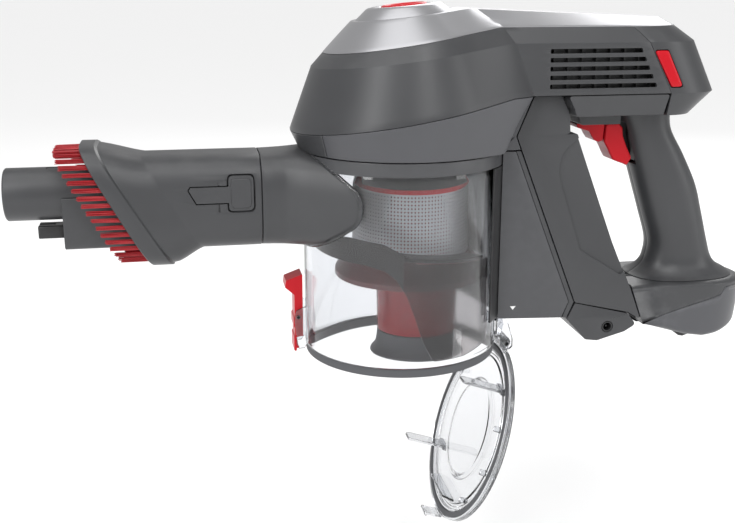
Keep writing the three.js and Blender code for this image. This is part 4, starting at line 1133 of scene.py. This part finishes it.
BASE_SEAM = [(100, 13.6), (149, 13.6), (166, 20.6), (200, 29.6), (202.6, 34.2), (300, 34.2)]
BASE_BOTTOM = [(140, 16), (148.5, 13.4), (172, 6), (186, 2.2), (200, 3.2), (214, 6), (240, 12)]
BASE_TOP = [(100, 38.3), (212, 38.3), (224, 36.6), (240, 34)]


def base_ring(height, inset=0.0):
    """One ring round the handle's base; height gives z at x, and inset draws the ring in."""
    round_from = 190
    half = BASE_HALF - inset
    shares = (0, 0.35, 0.7)
    spots = [(share, None, -half) for share in shares]
    for i in range(33):
        angle = math.pi * i / 32 - math.pi / 2
        spots.append((None, angle, half * math.sin(angle)))
    spots += [(share, None, half) for share in reversed(shares)]
    for i in range(1, 8):
        spots.append((0, None, mix(half, -half, i / 8)))
    ring = []
    for share, angle, y in spots:
        if angle is None:
            z = height(150)
            front = 139.6 + (37.7 - z) * 0.37 + min(inset, 3) * 0.3
            x = mix(front, round_from, share)
        else:
            reach = BASE_END - round_from - inset
            x = round_from + reach * math.cos(angle)
            x -= max(0, 33 - height(x)) * 0.125 * math.cos(angle)
        ring.append((x, y, height(x)))
    return ring


def build_base():
    fillet = 4.0
    insets = [28.5, 20, 12, 7, 4, 2.6, 1.4, 0.6, 0.15]

    def lift(inset):
        return math.sqrt(max(0, fillet ** 2 - (fillet - min(inset, fillet)) ** 2)) / fillet

    def floor_edge(x):
        return min(fillet, 0.4 * (along(BASE_SEAM, x) - along(BASE_BOTTOM, x)))

    top_rows = []
    for k in range(9):
        t = k / 8
        top_rows.append(base_ring(
            lambda x: mix(along(BASE_SEAM, x) + 0.15, along(BASE_TOP, x) - fillet * 0.5, t)))
    for inset in reversed(insets):
        top_rows.append(base_ring(lambda x: along(BASE_TOP, x) - fillet * 0.5 * (1 - lift(inset)), inset))
    upper = sheet("handle_base_shell", top_rows, (185, 0, 25), 2, wrap=True)
    soften(upper, 0.4, 2, limit=40, sharp=50)
    dress(upper, DARK, "body", "dark_plastic", "handle_base")

    rows = []
    for inset in insets:
        rows.append(base_ring(lambda x: along(BASE_BOTTOM, x) + (1 - lift(inset)) * floor_edge(x), inset))
    for k in range(9):
        t = k / 8
        rows.append(base_ring(
            lambda x: mix(along(BASE_BOTTOM, x) + floor_edge(x), along(BASE_SEAM, x) - 0.15, t)))
    lower = sheet("base_lower_shell", rows, (190, 0, 20), 2, wrap=True)
    soften(lower, 0.4, 2, limit=40, sharp=50)
    dress(lower, BAND_GREY, "body", "grey_plastic", "base_shell")
    peg = rounded([(181.4, 3.2), (183.4, -2.6), (186, -4.8), (189, -5.4), (193.2, -4), (194.4, 3.2)], 1.0)
    dress(soften(prism("accessory_peg_tab", peg, -5, 5), 1.0, 3), BLACK, "body", "black_plastic",
          "accessory_peg")


# ---------------------------------------------------------------- inlet duct, tube and brush


def leaning(top, high, bottom, low):
    """A line across the tube's length that leans: its x at two heights gives its x at any height."""
    return lambda z: bottom + (top - bottom) * (z - low) / (high - low)


def cross_section(at, half, high, low, square=3.4, count=96):
    middle = (high + low) / 2
    return [(at(middle + b), a, middle + b) for a, b in superellipse(half, (high - low) / 2, square, count)]


DUCT_WIDTHS = [(DUCT_END, DUCT_HALF), (-79, DUCT_HALF), (-72, 28), (-66, 30.4), (-60, 33.4), (-53, 37.6),
               (-46, 42), (-36, 48), (-26, 53), (0, 60)]


def build_duct():
    face = BIN_RADIUS + 0.4
    count = 96
    unit = superellipse(1, 1, 3.2, count)
    meeting = []
    for a, b in unit:
        low, high = -face, -20.0
        for _ in range(40):
            x = (low + high) / 2
            y = a * along(DUCT_WIDTHS, x)
            if abs(y) >= face or x < -math.sqrt(face ** 2 - y * y):
                low = x
            else:
                high = x
        meeting.append((low + high) / 2)
    rows = []
    steps = 26
    for k in range(steps + 1):
        t = k / steps
        row = []
        for (a, b), end_x in zip(unit, meeting):
            x = mix(DUCT_END, end_x, t)
            tall = along([(DUCT_END, 27), (-72, 27.4), (-60, 28), (-46, 28), (-26, 27), (0, 26)], x)
            row.append((x, a * along(DUCT_WIDTHS, x), DUCT_Z + b * tall))
        rows.append(row)
    mouth = []
    for scale in (0.8, 0.55, 0.34):
        ring = []
        for x, y, z in rows[steps]:
            y_in, z_in = y * scale, DUCT_Z + (z - DUCT_Z) * scale
            ring.append((-math.sqrt(face ** 2 - y_in ** 2), y_in, z_in))
        mouth.append(ring)
    rows += mouth
    duct = loft("inlet_duct_shell", rows)
    throat = cylinder("throat", PORT_RADIUS - 0.5, -76, 0, (0, DUCT_Z + 1), "X")
    socket = cylinder("socket", TUBE_RADIUS + GAP, DUCT_END - 5, -74, (0, TUBE_Z), "X")
    carve(duct, [throat, socket])
    soften(duct, 0.35, 2, limit=40, sharp=50)
    dress(duct, DARK, "body", "dark_plastic", "inlet_duct")

    lip = swept("duct_lip", [(-math.sqrt(59.9 ** 2 - y * y), y, z) for x, y, z in rows[steps]], 1.2)
    dress(lip, CLEAR_LID, "body", "clear_plastic")

    outer = [(TUBE_END + 0.0, TUBE_RADIUS - 0.9), (TUBE_END + 0.9, TUBE_RADIUS), (-206, TUBE_RADIUS),
             (-74.4, TUBE_RADIUS), (-74.4, TUBE_BORE), (TUBE_END + 0.8, TUBE_BORE),
             (TUBE_END, TUBE_BORE + 0.7)]
    rows = []
    for x, radius in outer:
        rows.append([(x, a, TUBE_Z + b) for a, b in superellipse(radius, radius, 2, 72)])
    tube = sleeve("nozzle_tube_shell", rows)
    carve(tube, [block("notch", -204, -196, -3, 3, TUBE_Z + TUBE_RADIUS - 1, 140)])
    soften(tube, 0.25, 2)
    dress(tube, DARK, "body", "dark_plastic", "nozzle_tube")

    section = rounded([(-16.5, 73.5), (16.5, 73.5), (16.5, 103.2), (-16.5, 103.2)], [4, 4, 0.5, 0.5], 5)
    housing = prism("connector_housing_shell", section, -195.6, -89, "X")
    carve(housing, [cylinder("room", TUBE_RADIUS + GAP, -210, -80, (0, TUBE_Z), "X")])
    soften(housing, 0.6, 3)
    dress(housing, DARK, "body", "dark_plastic", "connector_housing")
    blade = rounded([(-6, 78.4), (6, 78.4), (6, 85.7), (-6, 85.7)], 1)
    prong = prism("contact_prong_blade", blade, -210.7, -195.9, "X")
    carve(prong, [block("slit", -212, -201.6, -1.4, 1.4, 80, 90)])
    dress(soften(prong, 0.5, 2), BLACK, "body", "black_plastic", "contact_prong")


CATCH = [(-126, 107.3), (-125, 108.9), (-104, 108.9), (-104, 115), (-90, 115), (-90, 95), (-104, 95),
         (-104, 99.7), (-121.9, 99.7)]
CATCH_CORNERS = [0.6, 0.6, 0.5, 3, 3, 3, 3, 0.5, 0.6]


def grown(outline, amount):
    """An outline moved outwards by an amount, corner by corner."""
    count = len(outline)
    area = sum(outline[i][0] * outline[(i + 1) % count][1] - outline[(i + 1) % count][0] * outline[i][1]
               for i in range(count))
    turn = 1 if area > 0 else -1
    result = []
    for i, corner in enumerate(outline):
        before = Vector(corner) - Vector(outline[i - 1])
        after = Vector(outline[(i + 1) % count]) - Vector(corner)
        a, b = before.normalized(), after.normalized()
        normal = Vector((a.y + b.y, -a.x - b.x)).normalized()
        stretch = amount / max(0.4, normal.dot(Vector((a.y, -a.x))))
        result.append(tuple(Vector(corner) + normal * stretch * turn))
    return result


def build_brush():
    flange = (FLANGE_HALF, FLANGE_HIGH, FLANGE_LOW)
    neck = (DUCT_HALF, DUCT_Z + DUCT_HALF, DUCT_Z - DUCT_HALF)

    def ring(top, bottom, sizes, inset=0.0):
        half, high, low = sizes
        line = leaning(top, high, bottom, low)
        return cross_section(line, half - inset, high - inset, low + inset)

    front = lambda inset, shift=0.0: ring(FLANGE_TOP + shift, FLANGE_BOTTOM + shift, flange, inset)
    rows = [front(6.0, 5), front(6.0), front(5.2, -0.0), front(5.2, 2.9), front(1.5, 2.9), front(1.5),
            front(0.5, 0.0), front(0.0, 0.5), ring(FLANGE_TOP + 8.3, FLANGE_BOTTOM + 11.4, flange),
            ring(FLANGE_TOP + 8.7, FLANGE_BOTTOM + 12, flange, 0.4),
            ring(FLANGE_TOP + 9.3, FLANGE_BOTTOM + 12.8, flange, 1.3),
            ring(FLANGE_TOP + 10.6, FLANGE_BOTTOM + 14, flange, 1.4)]
    flange_neck = (FLANGE_HALF - 1.4, FLANGE_HIGH - 1.4, FLANGE_LOW + 1.4)
    steps = 12
    for k in range(1, steps + 1):
        t = k / steps
        ease = t * t * (3 - 2 * t) * 0.35 + t * 0.65
        sizes = tuple(mix(a, b, ease) for a, b in zip(flange_neck, neck))
        rows.append(ring(mix(FLANGE_TOP + 10.6, -150, t), mix(FLANGE_BOTTOM + 14, -118, t), sizes))
    rows.append(ring(-132, -108, neck))
    rows.append(ring(-100, -95, neck))
    rows.append(ring(DUCT_END - 0.9, DUCT_END - 0.9, neck))
    rows.append(ring(DUCT_END - 0.35, DUCT_END - 0.35, neck, 0.5))
    collar = loft("brush_collar_shell", rows)
    clearance = 0.6
    tube_room = cylinder("room", TUBE_RADIUS + clearance, -250, -60, (0, TUBE_Z), "X")
    housing = prism("room", rounded([(-17.1, 72.9), (17.1, 72.9), (17.1, 104), (-17.1, 104)], [4, 4, 1, 1],
                                    5),
                    -250, -60, "X")
    pocket = prism("pocket", rounded(grown(CATCH, 0.6), CATCH_CORNERS), -40, -DUCT_HALF + 3.6)
    square = prism("square", rounded([(-105, 94), (-89, 94), (-89, 116), (-105, 116)], 3.6), -40,
                   -DUCT_HALF + 1.2)
    bars = joined("bars", [block("bar", -110, -109, -40, -DUCT_HALF + 1, low, high)
                           for low, high in ((94.6, 99.2), (109.5, 115.4))])
    carve(collar, [tube_room, housing, pocket, square, bars])
    soften(collar, 0.3, 2, limit=28, sharp=50)
    dress(collar, DARK, "brush", "dark_plastic", "brush_collar")

    catch = prism("collar_catch", rounded(CATCH, CATCH_CORNERS), -DUCT_HALF - 0.1, -DUCT_HALF + 1.7)
    pad = rounded([(-102.6, 96.6), (-91.4, 96.6), (-91.4, 113.4), (-102.6, 113.4)], 2.6)
    pad = prism("pad", pad, -DUCT_HALF - 0.7, -DUCT_HALF + 0.5)
    catch = joined("collar_catch", [soften(catch, 0.3, 2), soften(pad, 0.5, 3)])
    dress(catch, DARK, "collar_button", "dark_plastic", "collar_button")

    line = leaning(FLANGE_TOP, FLANGE_HIGH, FLANGE_BOTTOM, FLANGE_LOW)
    middle = (FLANGE_HIGH + FLANGE_LOW) / 2
    path = superellipse(FLANGE_HALF - 3.3, (FLANGE_HIGH - FLANGE_LOW) / 2 - 3.3, 3.4, 600)
    lean = (FLANGE_TOP - FLANGE_BOTTOM) / (FLANGE_HIGH - FLANGE_LOW)
    spots = resampled([(a, b * math.hypot(1, lean)) for a, b in path + path[:1]], 47)[:-1]
    tufts = []
    for a, b in spots:
        z = middle + b / math.hypot(1, lean)
        tufts.append((line(z) + 2.2, a, z))
    bristles = grow("bristle_tufts", tuft_tree(), tufts, BRISTLE_RED,
                    {"Length": 0.0178, "Tuft Width": 0.0017})
    dress(bristles, BRISTLE_RED, "brush", "bristle_nylon", "bristle_ring")


# ---------------------------------------------------------------- dust bin and cyclone


def build_bin():
    wall = [(BIN_RADIUS - BIN_WALL, SEAL_HEIGHT), (BIN_RADIUS + 0.1, SEAL_HEIGHT),
            (BIN_RADIUS + 0.1, SEAL_HEIGHT + 2.6), (BIN_RADIUS - 0.2, SEAL_HEIGHT + 3.2),
            (BIN_RADIUS - 0.2, BIN_TOP - 4), (BIN_RADIUS - 0.2, BIN_TOP), (BIN_RADIUS - BIN_WALL, BIN_TOP)]
    jar = turned("dust_bin_wall", wall, segments=128)
    carve(jar, [cylinder("port", PORT_RADIUS, -80, -20, (0, DUCT_Z), "X")])
    soften(jar, 0.4, 2)
    dress(jar, CLEAR, "bin", "clear_plastic", "dust_bin")

    ears = []
    hinge_ear = [(58.6, 20), (58.6, 6), (60.4, 5.4), (60.8, -1.5), (63, -2.9), (67, -2.9), (69, -1), (69, 4),
                 (66, 14), (62, 20)]
    latch_ear = [(-58.6, 31), (-65.5, 28), (-66.4, 21), (-64.6, 4), (-60.8, 4), (-59.7, 6), (-58.6, 7)]
    for side in (-1, 1):
        for outline, low, high in ((hinge_ear, 12.0, 16.0), (latch_ear, 7.4, 9.4)):
            near, far = sorted((side * low, side * high))
            ears.append(soften(prism("ear", rounded(outline, 0.8), near, far), 0.4, 2))
    web = rounded([(59.1, 20), (59.1, 8), (60.6, 6), (61.6, 6), (63.6, 13), (62, 20)], 0.5)
    ears.append(soften(prism("web", web, -11.8, 11.8), 0.4, 2))
    dress(joined("bin_ears", ears), CLEAR_LID, "bin", "clear_plastic")

    seal = turned("bin_seal_ring", [(54.4, 0.2), (55, 0), (57.8, 0), (58.4, 0.2), (58.4, 5.1), (54.4, 5.1)],
                  segments=128)
    dress(soften(seal, 0.3, 2), SEAL, "bin", "seal_rubber", "bin_seal")
    pins = cylinder("hinge_pin_rod", 1.6, -16, 16, (HINGE.x, HINGE.z), "Y", 32)
    dress(soften(pins, 0.3, 2), STEEL, "bin", "bright_steel", "hinge_pin")
    pin = cylinder("latch_pin_rod", 1.2, -9.4, 9.4, (-64.2, 24), "Y", 32)
    dress(soften(pin, 0.2, 2), STEEL, "bin", "bright_steel", "latch_pin")


def build_cyclone():
    cap = turned("cyclone_cap_ring", [
        (33, 103.3), (37.6, 103.3), (38.6, 104), (44.9, 114.6), (45.4, 116), (45.4, 124), (42, 124),
        (42, 117), (33, 105)], SHROUD_X)
    dress(soften(cap, 0.4, 2), BLACK, "bin", "black_plastic", "cyclone_cap")
    band = turned("cyclone_band_ring", [(33, 100.2), (36.6, 100.2), (36.6, 103), (33, 103)], SHROUD_X)
    dress(soften(band, 0.4, 2), RED, "bin", "red_plastic", "cyclone_band")

    screen = grow("mesh_screen_bars", screen_tree(), [(SHROUD_X, 0, 81.2)], SCREEN,
                  {"Radius": 0.0354, "Height": 0.0366, "Uprights": 112, "Hoops": 19, "Bar": 0.00118,
                   "Sheet": 0.0005})
    dress(screen, SCREEN, "bin", "steel_mesh", "mesh_screen")
    skirt = turned("cyclone_skirt_shell", [
        (33, 62.3), (36, 62.3), (36.8, 61.6), (45.2, 51.8), (46, 50.6), (46, 47.8), (44.5, 47.8),
        (44.5, 50.5), (34.5, 60.8), (33, 60.8)], SHROUD_X)
    dress(soften(skirt, 0.3, 2), SMOKED_RED, "bin", "red_plastic", "cyclone_skirt")
    cone = turned("cyclone_cone_shell", [
        (21.8, 14.4), (24, 14.4), (24.3, 24), (24.7, 36), (25, 48), (24.6, 56), (23.4, 62), (14, 97),
        (12, 97), (21.4, 62), (22.8, 48), (21.8, 14.4)][:-1], CONE_X)
    dress(soften(cone, 0.3, 2), CONE_RED, "bin", "red_plastic", "cyclone_cone")
    foot = turned("cyclone_foot_ring", [
        (22, 0.6), (28, 0.6), (28.2, 1.2), (27.8, 2.2), (25.8, 4.2), (24.8, 6.6), (24.2, 10), (24, 14.1),
        (22, 14.1)],
        CONE_X)
    dress(soften(foot, 0.3, 2), SEAL, "bin", "grey_plastic", "cyclone_foot")

    rows = []
    steps = 60
    for i in range(steps + 1):
        t = i / steps
        angle = math.radians(150 + 170 * t)
        z = 80 - 15.4 * t
        corners = [(43.5, z), (54.2, z), (54.2, z - 2), (43.5, z - 2)]
        rows.append([(r * math.cos(angle), r * math.sin(angle), h) for r, h in corners])
    floor = soften(loft("floor", rows), 0.3, 2)
    guide = soften(hanging_wall("guide", GUIDE_TOP, GUIDE_BOTTOM, 184, 260), 0.2, 2)
    dress(joined("inlet_ramp_guide", [floor, guide]), DARK_SMOKE, "bin", "smoke_plastic", "inlet_ramp")
    vane = soften(hanging_wall("inlet_vane", GUIDE_TOP, GUIDE_BOTTOM, 260.1, 326), 0.2, 2)
    dress(vane, SMOKE, "bin", "smoke_plastic")


GUIDE_RADIUS = 54.9
GUIDE_WALL = 1.2
GUIDE_TOP = [(184, 71.5), (192, 74), (200, 77.5), (213, 79.6), (227, 80), (248, 77.7), (262, 71),
             (268, 66.5), (290, 65), (326, 62)]
GUIDE_BOTTOM = [(184, 69), (192, 68.4), (213, 66.5), (238, 65), (249, 62.4), (256, 57.4), (262, 47.7),
                (268, 32), (272, 20), (278.5, 8), (300, 8), (326, 12)]


def hanging_wall(name, top, bottom, start, end):
    """A thin wall just inside the bin, between two edges given as [degrees round the bin, height]."""
    rows = []
    steps = 48
    for i in range(steps + 1):
        degrees = mix(start, end, i / steps)
        angle = math.radians(degrees)
        low, high = along(bottom, degrees), along(top, degrees)
        x, y = GUIDE_RADIUS * math.cos(angle), GUIDE_RADIUS * math.sin(angle)
        rows.append([(x, y, mix(low, high, k / 10)) for k in range(11)])
    return sheet(name, rows, (0, 0, 60), GUIDE_WALL)


# ---------------------------------------------------------------- lid and latch


def hung(obj):
    """Moves a piece drawn on the shut lid, with the hinge at the origin, to the open lid."""
    origin = place((0, 0, 0))
    swing = Matrix.Rotation(math.radians(-LID_HANG), 4, "Y")
    obj.data.transform(Matrix.Translation(place(HINGE)) @ swing @ Matrix.Translation(-origin))
    return obj


def build_lid():
    centre = -HINGE.x
    profile = [(0, -3.8), (29.8, -3.8), (31.8, -5.4), (50.8, -5.4), (51.4, -4.7), (52.6, -4.7), (53.2, -5.4),
               (54.8, -5.4), (55.6, -4.7), (57.2, -4.7), (57.8, -5.4), (LID_RADIUS, -5.4),
               (LID_RADIUS, -1.6), (58.6, -1.6), (58.6, -3), (54.2, -3), (54.2, -1.8), (53, -1.8), (53, -3),
               (49.6, -3), (49.4, -2.0), (48.6, -2.0), (48.4, -3), (34, -3), (32, -1.4), (0, -1.4)]
    disc = soften(turned("disc", profile, centre, segments=128), 0.3, 2)
    pieces = [disc]
    for spot, across in ((-26, 28), (39, -28)):
        fin = rounded([(across - 5.5, -3.2), (across + 5.5, -3.2), (across + 5.5, 22), (across + 3.6, 25),
                       (across - 5.5, 25)], [0, 0, 1, 1, 1])
        pieces.append(soften(prism("fin", fin, centre + spot - 0.8, centre + spot + 0.8, "X"), 0.35, 2))
        boss = [(across - 6.3, -3.2), (across + 6.3, -3.2), (across + 6, -0.4), (across - 6, -0.4)]
        pieces.append(soften(prism("boss", boss, centre + spot - 1.8, centre + spot + 1.8, "X"), 0.4, 2))
    for spot, across in ((24, 44), (-8, -50), (20, -47), (-34, -37)):
        post = turned("post", [(0, -3.2), (2, -3.2), (1.7, 1.6), (0, 1.6)], centre + spot, across, 24)
        pieces.append(soften(post, 0.3, 2))
    web = [(-19, -3.2), (19, -3.2), (15, 4), (-15, 4)]
    pieces.append(soften(prism("web", web, centre - 44.6, centre - 43.2, "X"), 0.3, 2))
    pieces.append(soften(cylinder("knuckle", 3.5, -11.4, 11.4, (0, 0), "Y", 40), 0.4, 2))
    for y in (-9, -3, 3, 9):
        arm = [(-8.5, -5.2), (-1, -3.4), (2.4, -2.4), (2.4, 1.4), (-1.6, 3), (-6.2, -1.6), (-8.5, -1.8)]
        pieces.append(soften(prism("arm", rounded(arm, 0.6), y - 1.1, y + 1.1), 0.35, 2))
    hook = [(centre - 58.6, -5.4), (centre - 63.4, -5.4), (centre - 63.8, 5), (centre - 65, 5),
            (centre - 63.8, 7), (centre - 62, 7), (centre - 62, -3), (centre - 58.6, -3)]
    pieces.append(soften(prism("hook", rounded(hook, 0.5), -5, 5), 0.35, 2))
    lid = hung(joined("bin_lid_disc", pieces))
    bake(lid, 40)
    dress(lid, CLEAR_LID, "lid", "clear_plastic", "lid")
    ring = turned("lid_seal_ring", [(54.5, -2.7), (58.3, -2.7), (58.3, -1.8), (57.6, -1.2), (55.2, -1.2),
                                    (54.5, -1.8)],
                  centre, segments=128)
    dress(hung(soften(ring, 0.2, 2)), SEAL, "lid", "seal_rubber", "lid_seal")


def build_latch():
    outline = [(-61.2, 50.3), (-71.2, 46.6), (-71.8, 42.5), (-66.3, 37.5), (-66.3, 24), (-67, 23),
               (-67, 17.5), (-66.3, 17), (-66.3, 11.5), (-66.9, 11), (-66.9, 2), (-65.3, 2), (-65.3, 3.7),
               (-64, 3.7), (-64, 5.4), (-65.3, 5.6), (-65.3, 11), (-61.4, 11.5)]
    latch = prism("bin_latch_lever", rounded(outline, 0.5, 3), -7, 7)
    dress(soften(latch, 0.5, 3), RED, "latch", "red_plastic", "bin_latch")


# ---------------------------------------------------------------- pieces kept from the CAD model

KEPT = {
    "fan_housing": BLACK, "motor_can": STEEL, "motor_mount": SEAL, "motor_rotor": COPPER, "fan_wheel": ALLOY,
    "motor_filter": FELT, "exhaust_filter": FELT, "control_board": BOARD, "battery_board": BOARD,
    "battery_cell_1": CELL, "battery_cell_2": CELL, "battery_cell_3": CELL, "microswitch": BLACK,
}


def dress_kept():
    for name, material in KEPT.items():
        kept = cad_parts[name]
        kept.data.materials.clear()
        kept.data.materials.append(material)


# ---------------------------------------------------------------- floor, light and camera


def build_stage():
    low = cad_box[0]
    drop = 0.045
    reach = 60.0
    height = low.z - drop
    corners = [(-reach, -reach, height), (reach, -reach, height), (reach, reach, height),
               (-reach, reach, height)]
    floor_mesh = bpy.data.meshes.new("floor")
    floor_mesh.from_pydata(corners, [], [(0, 1, 2, 3)])
    floor = bpy.data.objects.new("floor", floor_mesh)
    bpy.context.scene.collection.objects.link(floor)
    paint = bpy.data.materials.new("pale_floor")
    paint.use_nodes = True
    shader = paint.node_tree.nodes["Principled BSDF"]
    shader.inputs["Base Color"].default_value = (0.9, 0.9, 0.9, 1)
    shader.inputs["Roughness"].default_value = 0.8
    shader.inputs["Specular IOR Level"].default_value = 0.1
    floor_mesh.materials.append(paint)

    world = bpy.data.worlds.new("studio")
    world.use_nodes = True
    world.node_tree.nodes["Background"].inputs["Color"].default_value = (1, 1, 1, 1)
    world.node_tree.nodes["Background"].inputs["Strength"].default_value = 0.5
    bpy.context.scene.world = world
    bpy.context.scene.view_settings.view_transform = "Standard"

    def hang(lamp, name, spot):
        obj = bpy.data.objects.new(name, lamp)
        obj.location = spot
        obj.rotation_mode = "QUATERNION"
        obj.rotation_quaternion = (-Vector(spot)).to_track_quat("-Z", "Y")
        bpy.context.scene.collection.objects.link(obj)

    sky = bpy.data.lights.new("overhead", "SUN")
    sky.energy = 1.7
    sky.angle = math.radians(70)
    hang(sky, "overhead", (-0.5, -0.4, 1.6))
    boxes = [
        ("left_strip", (-1.3, -1.0, 0.7), 0.3, 1.3, 10), ("front_strip", (0.12, -1.25, 1.1), 0.22, 1.3, 8),
        ("right_strip", (1.3, -0.9, 0.5), 0.4, 1.2, 6), ("back_box", (0.5, 1.4, 0.9), 0.9, 0.9, 8),
    ]
    for name, spot, width, tall, watts in boxes:
        lamp = bpy.data.lights.new(name, "AREA")
        lamp.shape = "RECTANGLE"
        lamp.size = width
        lamp.size_y = tall
        lamp.energy = watts
        hang(lamp, name, spot)


def build_marks():
    """A plain printed arrow low on the column's side, pointing at the bin's release."""
    column = [(63.4, 27.9), (65.2, 30.2), (61.6, 30.2)]
    dress(bake(prism("column_arrow", column, -COLUMN_HALF - 0.08, -COLUMN_HALF + 0.3)), MARK, "body",
          "grey_plastic")


def build_camera():
    camera = bpy.data.cameras.new("camera")
    camera.lens = 49.96
    camera.sensor_width = 36
    camera.clip_start = 0.01
    obj = bpy.data.objects.new("camera", camera)
    forward = Vector((0.1726, 0.9482, -0.2667))
    obj.location = (-0.29885, -0.59055, 0.1324)
    obj.rotation_mode = "QUATERNION"
    obj.rotation_quaternion = forward.to_track_quat("-Z", "Y")
    bpy.context.scene.collection.objects.link(obj)
    bpy.context.scene.camera = obj


build_camera()
build_stage()
build_casing()
build_cover()
build_rear_cap()
build_lower_body()
build_spine()
build_battery()
build_grip()
build_trigger()
build_base()
build_duct()
build_brush()
build_bin()
build_cyclone()
build_lid()
build_latch()
build_marks()
dress_kept()
